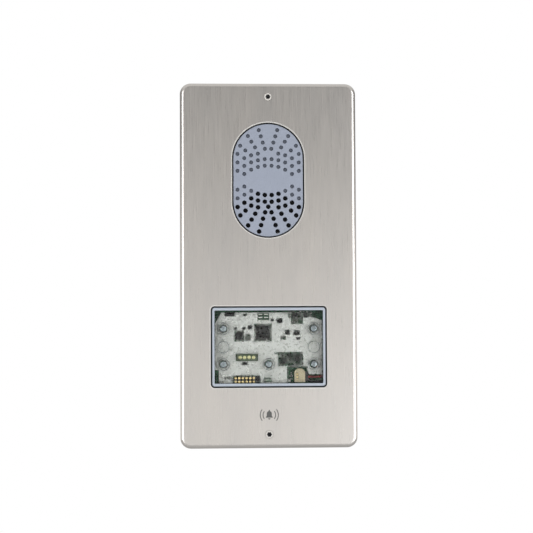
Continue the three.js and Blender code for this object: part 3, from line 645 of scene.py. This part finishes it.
def lipped_seal(name, outline, lip, node):
    """Flat seal with a lip standing in the slot; outline(inset) starts at the lip's inner wall."""
    flat_front, back, top = -4.4, -3.7, -5.55
    seal = Solid()
    profile = [(0, back), (0, top + 0.12), (-0.1, top), (-lip + 0.1, top), (-lip, top + 0.12),
               (-lip, flat_front - 0.1), (-lip - 0.1, flat_front), (-3.7, flat_front),
               (-3.8, flat_front + 0.1), (-3.8, back)]
    loops = seal.skin(outline, profile)
    seal.bridge(loops[-1], loops[0])
    seal.piece(name, [RUBBER], node)


# ---------- window ----------

SIGHT_WIDTH, SIGHT_HEIGHT = 74.8, 50.2


def window_bezel():
    _, _, front, back, _, _ = span("window_bezel")
    lip_back, flange_front = -4.2, -3.6
    outside = inset_rect(78, 54, 1.7, 8, 0, WINDOW_Z)
    inside = inset_rect(SIGHT_WIDTH, SIGHT_HEIGHT, 0.6, 8, 0, WINDOW_Z)
    bezel = Solid()
    outer = bezel.skin(outside, [(-4, back), (-4, flange_front + 0.1), (-3.9, flange_front),
                                 (0, flange_front)]
                       + [(inset, front + depth) for inset, depth in soft_edge(0.45, 4)])
    inner = bezel.skin(inside, [(-inset, front + depth) for inset, depth in reversed(soft_edge(0.3, 3))]
                       + [(0.05, lip_back), (-0.9, lip_back), (-0.9, back)])
    bezel.bridge(outer[-1], inner[0])
    bezel.bridge(inner[-1], outer[0])
    bezel.piece("window_frame", [PALE_GREY], "window_bezel")


def window_pane():
    left, right, front, back, bottom, top = span("window_pane")
    pane = Solid()
    loops = pane.skin(inset_rect(right - left, top - bottom, 0.6, 4, 0, WINDOW_Z),
                      [(0.15, front), (0, front + 0.15), (0, back - 0.15), (0.15, back)])
    pane.cap(loops[0], loops[-1])
    pane.piece("clear_pane", [CLEAR], "window_pane", sharp=20)


# ---------- frosted light guide ----------

POSTS = [(-31.3, -44.1), (31.3, -44.1), (-31.3, -68.7), (31.3, -68.7), (0, -68.7)]
EMPTY_POSTS = [(-31.3, -56.8), (31.3, -56.8)]
GUIDE_OUTLINE = [(-37.1, -40.5), (-35.2, -37.2), (-32.6, -32.9), (-30, -32.9), (-30, -35.2),
                 (-23.6, -35.2), (-23.6, -32.9), (27.4, -32.9), (30.5, -36.2), (37.1, -38.4),
                 (37.1, -80.2), (28.4, -80.2), (28.4, -78.8), (35.9, -78.8), (35.9, -75.9), (28, -75.9),
                 (26, -71.2), (17.4, -71.2), (13.4, -73.4), (13.4, -81.6), (-9.2, -81.6),
                 (-9.2, -76.8), (-24.4, -76.8), (-24.4, -81.6), (-34.5, -81.6), (-34.5, -72.6),
                 (-37.1, -72.6)]
GUIDE_WINDOWS = [(-22.7, -7.5, -66.4, -61.5), (-7.5, 0.4, -38.5, -33.6)]
SEAT_R, SEAT_DEPTH = 4.2, 0.5


def light_guide():
    _, _, front, tips, _, _ = span("light_diffuser")
    back = -0.1
    seat = front + SEAT_DEPTH
    guide = Solid()
    outer = [guide.loop(filleted(GUIDE_OUTLINE, 0.7), y) for y in (front, back)]
    guide.bridge(*outer)
    fronts, backs = [outer[0]], [outer[1]]
    for x0, x1, z0, z1 in GUIDE_WINDOWS:
        hole = rounded_rect(x1 - x0, z1 - z0, 0.4, 4, (x0 + x1) / 2, (z0 + z1) / 2)
        loops = [guide.loop(hole, y) for y in (front, back)]
        guide.bridge(*loops)
        fronts.append(loops[0])
        backs.append(loops[1])
    for x, z in POSTS + EMPTY_POSTS:
        guide.ring([(3.85, back - 0.02), (4.4, back - 0.02), (4.3, 2.45), (3.95, 2.45)], x, z, 40)
        # painted shade: an opaque grey ring in each seat stands for the dark edge line of the clear wall
        guide.slot = 1
        guide.ring([(SEAT_R - 0.08, front + 0.14), (SEAT_R - 0.1, front + 0.36), (SEAT_R - 0.42, seat - 0.01),
                    (SEAT_R - 0.42, seat - 0.06), (SEAT_R - 0.3, front + 0.3)], x, z, 40)
        guide.slot = 0
        wall = guide.skin(inset_circle(x, z, SEAT_R, 40),
                          [(0, front), (0.1, front + 0.15), (0.1, seat - 0.1), (0.2, seat)])
        fronts.append(wall[0])
        if (x, z) in EMPTY_POSTS:
            guide.face(wall[-1])
            continue
        bore = guide.skin(inset_circle(x, z, 1.3, 40),
                          [(0, seat), (0, tips), (-1.2, tips), (-1.2, back)])
        guide.bridge(wall[-1], bore[0])
        backs.append(bore[-1])
    guide.fill(*fronts)
    guide.fill(*backs)
    guide.piece("frosted_light_guide", [FROST, SEAT_RING_SHADE], "light_diffuser", sharp=30)


def self_tapping(name, node, material, head_r, head_height, shank_r, toward_wall=True):
    """Pan-head tapping screw along the depth axis with a cross recess."""
    _, _, front, back, _, _ = span(node)
    cx, cz = centre(node)
    flip = 1 if toward_wall else -1
    start, end = (front, back) if toward_wall else (back, front)
    screw = Solid()

    def cross(scale, sides=48):
        points = []
        for i in range(sides):
            a = TURN * i / sides
            r = head_r * (0.2 + 0.38 * abs(math.cos(2 * a)) ** 6)
            points.append((cx + scale * r * math.cos(a), cz + scale * r * math.sin(a)))
        return points

    seat = start + flip * head_height
    profile = [(head_r * 0.72, start + flip * 0.03), (head_r * 0.88, start + flip * 0.2 * head_height),
               (head_r * 0.985, start + flip * 0.55 * head_height),
               (head_r, start + flip * 0.8 * head_height), (head_r * 0.985, seat),
               (shank_r * 0.8, seat), (shank_r * 0.8, seat + flip * 0.6)]
    head = [screw.loop(circle(cx, cz, r, 48), y) for r, y in profile]
    screw.bridge(*head)
    recess = [screw.loop(cross(1), start + flip * 0.02), screw.loop(cross(0.94), start + flip * 0.1),
              screw.loop(cross(0.7), start + flip * 0.85 * head_height)]
    screw.bridge(*recess)
    screw.fill(head[0], recess[0])
    screw.cap(recess[-1], head[-1])
    low, high = sorted((seat + flip * 0.3, end - flip * 0.05))
    screw.thread(shank_r, 0.3, 1.0, low, high, cx, cz)
    screw.piece(name, [material], node)


def reflector_film():
    """Matt film on the board, with a cut-out round each group of parts."""
    refined("reflector_film", FILM, 0.04, 1).name = "matt_reflector_film"


# ---------- circuit board and what stands on its front ----------

BOARD_FRONT = span("main_board")[2]
SEATED = BOARD_FRONT - 0.02
rng = random.Random(7)


def board():
    left, right, front, back, bottom, top = span("main_board")
    sheet = Solid()
    edge = sheet.skin(inset_rect(right - left, top - bottom, 1.5, 6, 0, WINDOW_Z),
                      [(0.06, front), (0, front + 0.06), (0, back - 0.06), (0.06, back)])
    holes = [sheet.skin(inset_circle(x, z, 1.3, 24), [(0, front), (0, back)]) for x, z in POSTS]
    sheet.fill(edge[0], *[loops[0] for loops in holes])
    sheet.fill(edge[-1], *[loops[-1] for loops in holes])
    sheet.piece("green_main_board", [BOARD], "main_board")


def leaded_chip(name, node, legs_per_side, pitch, reach, sides):
    """Moulded chip with a pin-one dimple and formed legs on the named sides."""
    left, right, front, back, bottom, top = span(node)
    cx, cz = centre(node)
    chip = Solid()
    slant = 0.25
    middle = (front + back) / 2

    def outline(inset):
        return rounded_rect(right - left - 2 * inset, top - bottom - 2 * inset, 0.3, 3, cx, cz)

    body = chip.skin(outline, [(slant + 0.1, front), (slant, front + 0.05), (0, middle),
                               (slant, back)])
    dimple = chip.skin(inset_circle(left + 1.6, top - 1.6, 0.5, 20), [(0, front), (0.08, front + 0.1)])
    chip.fill(body[0], dimple[0])
    chip.cap(dimple[-1], body[-1])
    chip.slot = 1
    width, thick = pitch * 0.42, 0.16
    foot = BOARD_FRONT - 0.06
    for dx, dz in sides:
        half = (right - left) / 2 if dx else (top - bottom) / 2
        for leg in range(legs_per_side):
            along = (leg - (legs_per_side - 1) / 2) * pitch
            path = [(half - 0.1, middle), (half + 0.35 * reach, middle), (half + 0.55 * reach, foot),
                    (half + reach, foot)]
            loops = []
            for out, y in path:
                loop = []
                for across, deep in ((-1, -1), (1, -1), (1, 1), (-1, 1)):
                    beside = along + across * width / 2
                    loop.append(chip.bm.verts.new(((cx + (dx * out if dx else beside)) * MM,
                                                   (y + deep * thick / 2) * MM,
                                                   (cz + (dz * out if dz else beside)) * MM)))
                loops.append(loop)
            chip.bridge(*loops)
            chip.cap(loops[0], loops[-1])
    chip.piece(name, [RESIN, SOLDER], node)


def pin_header():
    """Two rows of square gold pins with collars in a notched black strip."""
    _, _, front, back, bottom, top = span("pin_header")
    pitch, columns, top_row, first = 2.54, 6, -78.2, -22.95
    seat_front = 0.4
    header = Solid()
    for column in range(columns):
        x = first + column * pitch
        header.block(x - pitch / 2 + 0.01, x + pitch / 2 - 0.01, seat_front, back, bottom, top, 0.35, 1)
    header.slot = 1
    for column in range(columns):
        for z in (top_row, top_row - pitch):
            x = first + column * pitch
            header.block(x - 0.36, x + 0.36, front, seat_front + 0.4, z - 0.36, z + 0.36, 0.14, 2)
            header.turned([(0, seat_front - 0.5), (0.5, seat_front - 0.5), (0.85, seat_front - 0.32),
                           (0.95, seat_front - 0.1), (0.95, seat_front + 0.1), (0, seat_front + 0.1)],
                          x, z, 16)
    header.piece("board_pin_header", [BLACK, GOLD], "pin_header")


def contact_strip():
    """Four domed gold contacts in a dark moulded strip."""
    left, right, front, back, bottom, top = span("contact_strip")
    body_front, pitch = -0.7, 3.1
    cx, cz = centre("contact_strip")
    strip = Solid()
    strip.block(left, right, body_front, back, bottom, top, 0.25)
    strip.slot = 1
    for step in (-1.5, -0.5, 0.5, 1.5):
        strip.turned([(0, front), (0.5, front + 0.06), (0.95, front + 0.28), (1.15, front + 0.5),
                      (1.25, body_front - 0.02), (1.25, body_front + 0.2), (0, body_front + 0.2)],
                     cx + step * pitch, cz, 24)
    strip.piece("sprung_contact_strip", [GUARD, PALE_CONTACT], "contact_strip")


# left, right, bottom, top, columns, rows and how many of the places are filled
SCATTERED = [(13.9, 30.6, -36.4, -32.6, 7, 3, 0.95), (16, 24, -40.8, -36.7, 3, 3, 0.75),
             (7, 24, -69.8, -60.6, 7, 5, 0.62), (-16.2, -12.4, -52.3, -47.7, 2, 3, 1),
             (14, 17.4, -80, -72.4, 1, 4, 0.8), (8.5, 12.1, -51.9, -49.3, 2, 2, 1),
             (-30.2, -26, -78.9, -77.3, 3, 1, 1)]
# left, right, depth, bottom, top
LARGER_PARTS = [(6.1, 9.5, 1.7, -40.1, -37.3), (17.9, 21.3, 1.8, -48.5, -45.5),
                (11.9, 14.7, 1.6, -48.1, -45.3), (1.9, 3.5, 1.2, -38.9, -37.5),
                (-23.8, -22, 1.2, -44.8, -43.2), (-18, -16, 1.2, -44.6, -43.4),
                (-14.2, -11.6, 1.6, -44.4, -42), (19.7, 21.9, 1, -51.6, -50.4),
                (16.5, 21, 1.9, -36.4, -33.4), (17.5, 22, 2, -66.5, -62.5), (9, 12.4, 1.7, -68.4, -64.9),
                (12.9, 16, 1.5, -64.6, -61.4), (-9.4, -6.1, 1.6, -81, -77),
                (-18.1, -14.7, 0.5, -69.2, -67.4), (-17.8, -15, 0.5, -35.2, -34),
                (-30, -24, 0.9, -35.4, -32.8), (24.6, 27.2, 1.6, -36.2, -32.8)]
# left, right, bottom, top
TINNED_PADS = [(13.6, 15.2, -81, -79.5), (26.5, 28.5, -72.5, -71.5)]
LEGENDS = [(-2.6, 1.8, -76.4, -75.8), (-6.9, -4.2, -34.6, -33.9), (-3, -0.1, -34.6, -33.9),
           (-6.9, -4.2, -36.7, -36), (-3, -0.1, -36.7, -36), (-7.2, 0.2, -38.5, -38.1),
           (-3.3, 2.3, -79.9, -79.3)]


def small_parts():
    """Surface-mount chips, capacitors and printed pads of the board's front, and its legends."""
    parts = Solid()

    def chip_part(x, z, long, short, depth, upright):
        def block(start, end, half, top):
            """From start to end along the part and half its width to each side."""
            if upright:
                parts.block(x - half, x + half, top, SEATED, z + start, z + end, 0.06, 1)
            else:
                parts.block(x + start, x + end, top, SEATED, z - half, z + half, 0.06, 1)

        end, cap = long / 2, 0.22 * long
        parts.slot = 0
        block(cap * 0.9 - end, end - cap * 0.9, short / 2, SEATED - depth)
        parts.slot = 1
        for start in (-end, end - cap):
            block(start, start + cap, short / 2 + 0.03, SEATED - depth - 0.03)

    def scatter(x0, x1, z0, z1, columns, rows, chance):
        for column in range(columns):
            for row in range(rows):
                if rng.random() > chance:
                    continue
                x = x0 + (column + 0.5) * (x1 - x0) / columns + rng.uniform(-0.2, 0.2)
                z = z0 + (row + 0.5) * (z1 - z0) / rows + rng.uniform(-0.2, 0.2)
                upright = rng.random() < 0.5
                long, short = rng.choice([(2.0, 1.25), (1.6, 0.8)])
                chip_part(x, z, long, short, rng.uniform(0.45, 1.1), upright)

    for area in SCATTERED:
        scatter(*area)
    parts.slot = 2
    for x0, x1, depth, z0, z1 in LARGER_PARTS:
        parts.block(x0, x1, SEATED - depth, SEATED, z0, z1, 0.25)
    parts.slot = 1
    for x0, x1, z0, z1 in TINNED_PADS:
        parts.block(x0, x1, SEATED - 0.06, SEATED, z0, z1, 0.03, 1)
    parts.piece("board_small_parts", [CERAMIC, SOLDER, RESIN], slot="chip_resin", body=ROOT)
    legends = Solid()
    for x0, x1, z0, z1 in LEGENDS:
        legends.block(x0, x1, SEATED - 0.03, SEATED, z0, z1, 0.01, 1)
    legends.piece("board_legend_marks", [SILK], slot="white_plastic", body=ROOT)


def speaker_connector():
    """Lead socket with its pins and latch, and the plug in it."""
    left, right, front, _, _, _ = span("speaker_connector")
    refined("speaker_connector", IVORY, 0.3).name = "lead_socket"
    refined("speaker_plug", BLACK, 0.2).name = "lead_plug"
    pins = Solid()
    for z in (-75.6, -77.7, -79.8):
        pins.block(left + 1.3, left + 2.6, front + 0.05, front + 1.2, z - 0.35, z + 0.35, 0.1, 1)
    pins.piece("lead_socket_pins", [GOLD], slot="gold_contact", body=ROOT)
    latch = Solid()
    latch.block(right - 2.3, right - 0.25, front + 0.01, front + 0.5, -79.6, -75.2, 0.2)
    latch.piece("lead_socket_latch", [WHITE], slot="white_plastic", body=ROOT)


LEAD_R = 0.8
RED_ROUTE = [(27.5, 1.35, -77.6), (29, 1.35, -77.6), (34, 1.5, -77.6), (38.6, 1.6, -76.8),
             (40.3, 1.6, -73), (40.3, 1.6, -60), (40.3, 1.6, -40), (40.3, 1.6, -26), (39.6, 1.6, -17),
             (34, 1.6, -8), (24, 1.6, -2), (16, 1.6, 3), (12.7, 1.6, 8), (12.5, 1.6, 16),
             (12.5, 1.8, 22), (10.8, 2.4, 27), (9.9, 2.2, 30)]
BLACK_ROUTE = [(27.5, 1.35, -79.7), (29, 1.35, -79.9), (33, 1.5, -81), (39.4, 1.6, -80.6),
               (41.9, 1.6, -77.4), (42, 1.6, -60), (42, 1.6, -40), (42, 1.6, -26), (41.4, 1.6, -16),
               (35.5, 1.6, -6.4), (25, 1.6, -0.2), (18, 1.6, 4.4), (14.4, 1.6, 9), (14.2, 1.6, 16),
               (14.2, 1.8, 23), (13.8, 2.4, 26.6), (11.6, 2.2, 30.2)]


# ---------- details of the back ----------

WAYS, WAY_PITCH = 6, 5.08
TICK_Z, ADJUSTER_Z = -71.2, -27.6


def terminal_screws():
    """Slotted clamp screws and the tinned clamps behind the six wire entries of the plug."""
    back = span("terminal_plug")[3]
    cx, cz = centre("terminal_plug")
    metalwork = Solid()
    for way in range(WAYS):
        x = cx + (way - (WAYS - 1) / 2) * WAY_PITCH
        z = cz + 2.6
        slot = [metalwork.loop(rounded_rect(2.6, 0.5, 0.1, 2, x, z), y) for y in (back - 0.55, back - 1.1)]
        head = metalwork.skin(inset_circle(x, z, 1.6, 24),
                              [(0.2, back - 0.55), (0, back - 0.75), (0, back - 1.95),
                               (0.3, back - 1.98)])
        metalwork.bridge(*slot)
        metalwork.fill(head[0], slot[0])
        metalwork.cap(slot[-1], head[-1])
        metalwork.block(x - 1.5, x + 1.5, back - 4.9, back - 4.2, cz - 4, cz - 0.8, 0.1, 1)
        metalwork.block(x - 1.2, x + 1.2, back - 4.3, back - 2.2, cz - 3.9, cz - 3.3, 0.1, 1)
    metalwork.piece("terminal_screws_and_clamps", [ZINC], slot=SLOT_OF["front_screw_top"],
                    body=frame["nodes"]["terminal_plug"]["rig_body"])


def rear_marks():
    """Printed ticks over the terminals and arcs under the adjusters, without lettering."""
    back = span("electronics_cover")[3]
    depths = (back - 0.01, back + 0.02)
    marks = Solid()
    for way in range(WAYS):
        x = (way - (WAYS - 1) / 2) * WAY_PITCH
        marks.printed(rounded_rect(0.5, 2.2, 0.2, 3, x, TICK_Z), depths)
    for node in ("volume_knob", "microphone_knob"):
        x, _ = centre(node)
        marks.printed(arc(x, ADJUSTER_Z, 2.6, 200, 340, 12) + arc(x, ADJUSTER_Z, 2.2, 340, 200, 12),
                      depths)
    marks.piece("rear_print", [SILK], slot="white_plastic", body=ROOT)


# ---------- printed sign under the window ----------

def bell_sign():
    """A plain bell with two sound arcs on each side."""
    z = SIGN_Z
    depths = (FACE - 0.02, FACE + 0.05)
    dome = arc(0, z + 0.9, 1.75, 0, 180, 14)
    skirt = [(-1.75, z - 0.6), (-2.6, z - 1.9), (2.6, z - 1.9), (1.75, z - 0.6)]
    sign = Solid()
    sign.printed(dome + skirt, depths)
    sign.printed(arc(0, z - 2.35, 0.85, 180, 360, 8), depths)
    sign.printed(circle(0, z + 3.0, 0.45, 12), depths)
    for side in (0, 180):
        for r in (4.3, 6.2):
            outer = arc(0, z - 0.1, r + 0.3, side - 38, side + 38, 12)
            inner = arc(0, z - 0.1, r - 0.3, side + 38, side - 38, 12)
            sign.printed(outer + inner, depths)
    sign.piece("bell_sign", [INK], slot="black_plastic", body=ROOT)


# ---------- build ----------

front_plate()
for end, side in (("top", 1), ("bottom", -1)):
    front_screw(end, side)
grille_insert()
lipped_seal("grille_seal", lambda inset: grille_outline(inset + 0.7), 0.5, "grille_gasket")
lipped_seal("window_seal", inset_rect(78.4, 54.4, 1.9, 8, 0, WINDOW_Z), 0.6, "window_gasket")
window_bezel()
window_pane()
light_guide()
for i in range(len(POSTS)):
    self_tapping(f"guide_screw_{i + 1}", f"diffuser_screw_{i + 1}", BLUED_ZINC, 2.2, 0.9, 1.0)
reflector_film()
board()
ALL_SIDES = [(1, 0), (-1, 0), (0, 1), (0, -1)]
leaded_chip("processor_package", "processor_chip", 16, 0.56, 1.0, ALL_SIDES)
leaded_chip("memory_package", "memory_chip", 4, 1.27, 1.1, ALL_SIDES[2:])
pin_header()
contact_strip()
small_parts()
speaker_connector()
tube("red_speaker_lead", RED_ROUTE, LEAD_R, RED_LEAD, "speaker_lead_red")
tube("black_speaker_lead", BLACK_ROUTE, LEAD_R, BLACK_LEAD, "speaker_lead_black")
terminal_screws()
rear_marks()
bell_sign()

KEPT_FINISHES = {
    "brushed_steel": STEEL, "screw_steel": ZINC, "black_plastic": BLACK, "black_rubber": RUBBER,
    "mesh_cloth": CLOTH, "blue_grey_plastic": BLUE_GREY, "circuit_board": BOARD, "chip_resin": RESIN,
    "ivory_plastic": IVORY, "green_plastic": GREEN, "relay_blue": BLUE, "capacitor_sleeve": SLEEVE,
    "white_plastic": WHITE, "red_plastic": RED, "magnet_ferrite": FERRITE, "cone_film": CONE,
    "copper_winding": COPPER, "gold_contact": GOLD,
}
SOFTENED = {"carrier_frame": 0.3, "electronics_cover": 0.35, "speaker_housing": 0.35,
            "terminal_plug": 0.2, "terminal_socket": 0.2, "lock_relay": 0.3, "volume_trimmer": 0.15,
            "microphone_trimmer": 0.15, "volume_knob": 0.12, "microphone_knob": 0.12,
            "program_switch": 0.15, "program_button": 0.12}
for node, width in SOFTENED.items():
    refined(node, KEPT_FINISHES[SLOT_OF[node]], width)
for i in range(1, 5):
    self_tapping(f"rear_cover_screw_{i}", f"cover_screw_{i}", ZINC, 2.6, 1.6, 1.2, False)
    self_tapping(f"rear_housing_screw_{i}", f"housing_screw_{i}", ZINC, 2.6, 1.6, 1.2, False)

for name, obj in frame["nodes"].items():
    if SLOT_OF[name] in KEPT_FINISHES:
        obj.data.materials.clear()
        obj.data.materials.append(KEPT_FINISHES[SLOT_OF[name]])


# ---------- floor, light and camera ----------

FLOOR_R, FLOOR_Z = 1.0, -0.45
# height in the room (0 straight down, 0.5 level, 1 straight up) and brightness
ROOM_STOPS = [(0.0, 0.12), (0.3, 0.19), (0.42, 1.0), (0.5, 0.88), (0.58, 0.18), (0.7, 0.3), (0.85, 0.75)]
ROOM_STRENGTH = 1.2
CAMERA_ANGLES = (-2.489, -2.497, -0.256)
CAMERA_SHIFT = (1.341, -1.195, 829.798)
CAMERA_PLANE = -3.0
LENS = 81.05


def fading_floor():
    """Pale matt floor whose rim runs out into the white backdrop, for the camera only."""
    pale = Finish("pale_floor", (0.6, 0.6, 0.6), 0.8)
    pale.vary_color(pale.noise(0.004, detail=3), 0.02)
    distance = pale.node("ShaderNodeVectorMath", operation="LENGTH")
    pale.link(pale.places(), distance.inputs[0])
    rim = pale.node("ShaderNodeMapRange", {"From Min": 0.15 * FLOOR_R, "From Max": 0.95 * FLOOR_R})
    pale.link(distance.outputs["Value"], rim.inputs["Value"])
    seen = pale.node("ShaderNodeLightPath")
    share = pale.node("ShaderNodeMath", operation="MULTIPLY")
    pale.link(rim.outputs[0], share.inputs[0])
    pale.link(seen.outputs["Is Camera Ray"], share.inputs[1])
    white = pale.node("ShaderNodeEmission", {"Strength": 1.0})
    mix = pale.node("ShaderNodeMixShader")
    pale.link(share.outputs[0], mix.inputs[0])
    pale.link(pale.shader.outputs[0], mix.inputs[1])
    pale.link(white.outputs[0], mix.inputs[2])
    pale.link(mix.outputs[0], pale.tree.nodes["Material Output"].inputs["Surface"])
    return pale.material


def floor():
    floor_mesh = bpy.data.meshes.new("floor")
    bm = bmesh.new()
    bmesh.ops.create_circle(bm, cap_ends=True, segments=96, radius=FLOOR_R)
    bm.to_mesh(floor_mesh)
    bm.free()
    floor_mesh.materials.append(fading_floor())
    obj = linked("floor", floor_mesh)
    obj.location = (0, 0, FLOOR_Z)


def softbox(name, place, width, height, power):
    """A rectangular light, sizes and place in metres, turned to the panel's middle."""
    light = bpy.data.lights.new(name, "AREA")
    light.shape = "RECTANGLE"
    light.size, light.size_y = width, height
    light.energy = power
    obj = linked(name, light)
    obj.location = place
    obj.rotation_euler = (-Vector(place)).to_track_quat("-Z", "Y").to_euler()
    obj.visible_camera = False


def surroundings():
    """White backdrop for the camera; for the light a room that is brightest just below eye level."""
    world = bpy.data.worlds.new("studio")
    bpy.context.scene.world = world
    world.use_nodes = True
    nodes, links = world.node_tree.nodes, world.node_tree.links
    room = nodes["Background"]
    output = nodes["World Output"]
    coordinates = nodes.new("ShaderNodeTexCoord")
    split = nodes.new("ShaderNodeSeparateXYZ")
    height = nodes.new("ShaderNodeMapRange")
    height.inputs["From Min"].default_value = -1
    ramp = nodes.new("ShaderNodeValToRGB")
    elements = ramp.color_ramp.elements
    for position, value in ROOM_STOPS:
        stop = elements.new(position)
        stop.color = (value, value * 0.985, value * 0.96, 1)
    elements.remove(elements[0])
    elements.remove(elements[-1])
    links.new(coordinates.outputs["Generated"], split.inputs[0])
    links.new(split.outputs["Z"], height.inputs["Value"])
    links.new(height.outputs[0], ramp.inputs["Fac"])
    links.new(ramp.outputs["Color"], room.inputs["Color"])
    room.inputs["Strength"].default_value = ROOM_STRENGTH
    white = nodes.new("ShaderNodeBackground")
    white.inputs["Color"].default_value = (1, 1, 1, 1)
    path = nodes.new("ShaderNodeLightPath")
    mix = nodes.new("ShaderNodeMixShader")
    links.new(path.outputs["Is Camera Ray"], mix.inputs["Fac"])
    links.new(room.outputs[0], mix.inputs[1])
    links.new(white.outputs[0], mix.inputs[2])
    links.new(mix.outputs[0], output.inputs["Surface"])


def camera():
    """The photograph's view: nearly square on, from a little left and below the middle."""
    pitch, yaw, roll = (math.radians(angle) for angle in CAMERA_ANGLES)
    turn = (Matrix.Rotation(roll, 3, "Z") @ Matrix.Rotation(pitch, 3, "X")
            @ Matrix.Rotation(yaw, 3, "Y"))
    place = -(turn.transposed() @ Vector(CAMERA_SHIFT))
    right, down, ahead = (Vector((row[0], row[2], -row[1])) for row in turn)
    data = bpy.data.cameras.new("photo_view")
    data.lens = LENS
    data.sensor_width = 36
    obj = linked("photo_view", data)
    spot = Vector((place.x, place.z + CAMERA_PLANE, -place.y)) * MM
    obj.matrix_world = Matrix.Translation(spot) @ Matrix((right, -down, -ahead)).transposed().to_4x4()
    bpy.context.scene.camera = obj


floor()
surroundings()
softbox("left_side", (-0.8, -0.85, 0.0), 0.5, 1.1, 7)
softbox("right_side", (0.8, -0.85, 0.0), 0.5, 1.1, 8)
softbox("low_right", (0.42, -1.1, -0.3), 0.3, 0.3, 0.5)
camera()
bpy.context.scene.view_settings.view_transform = "Standard"
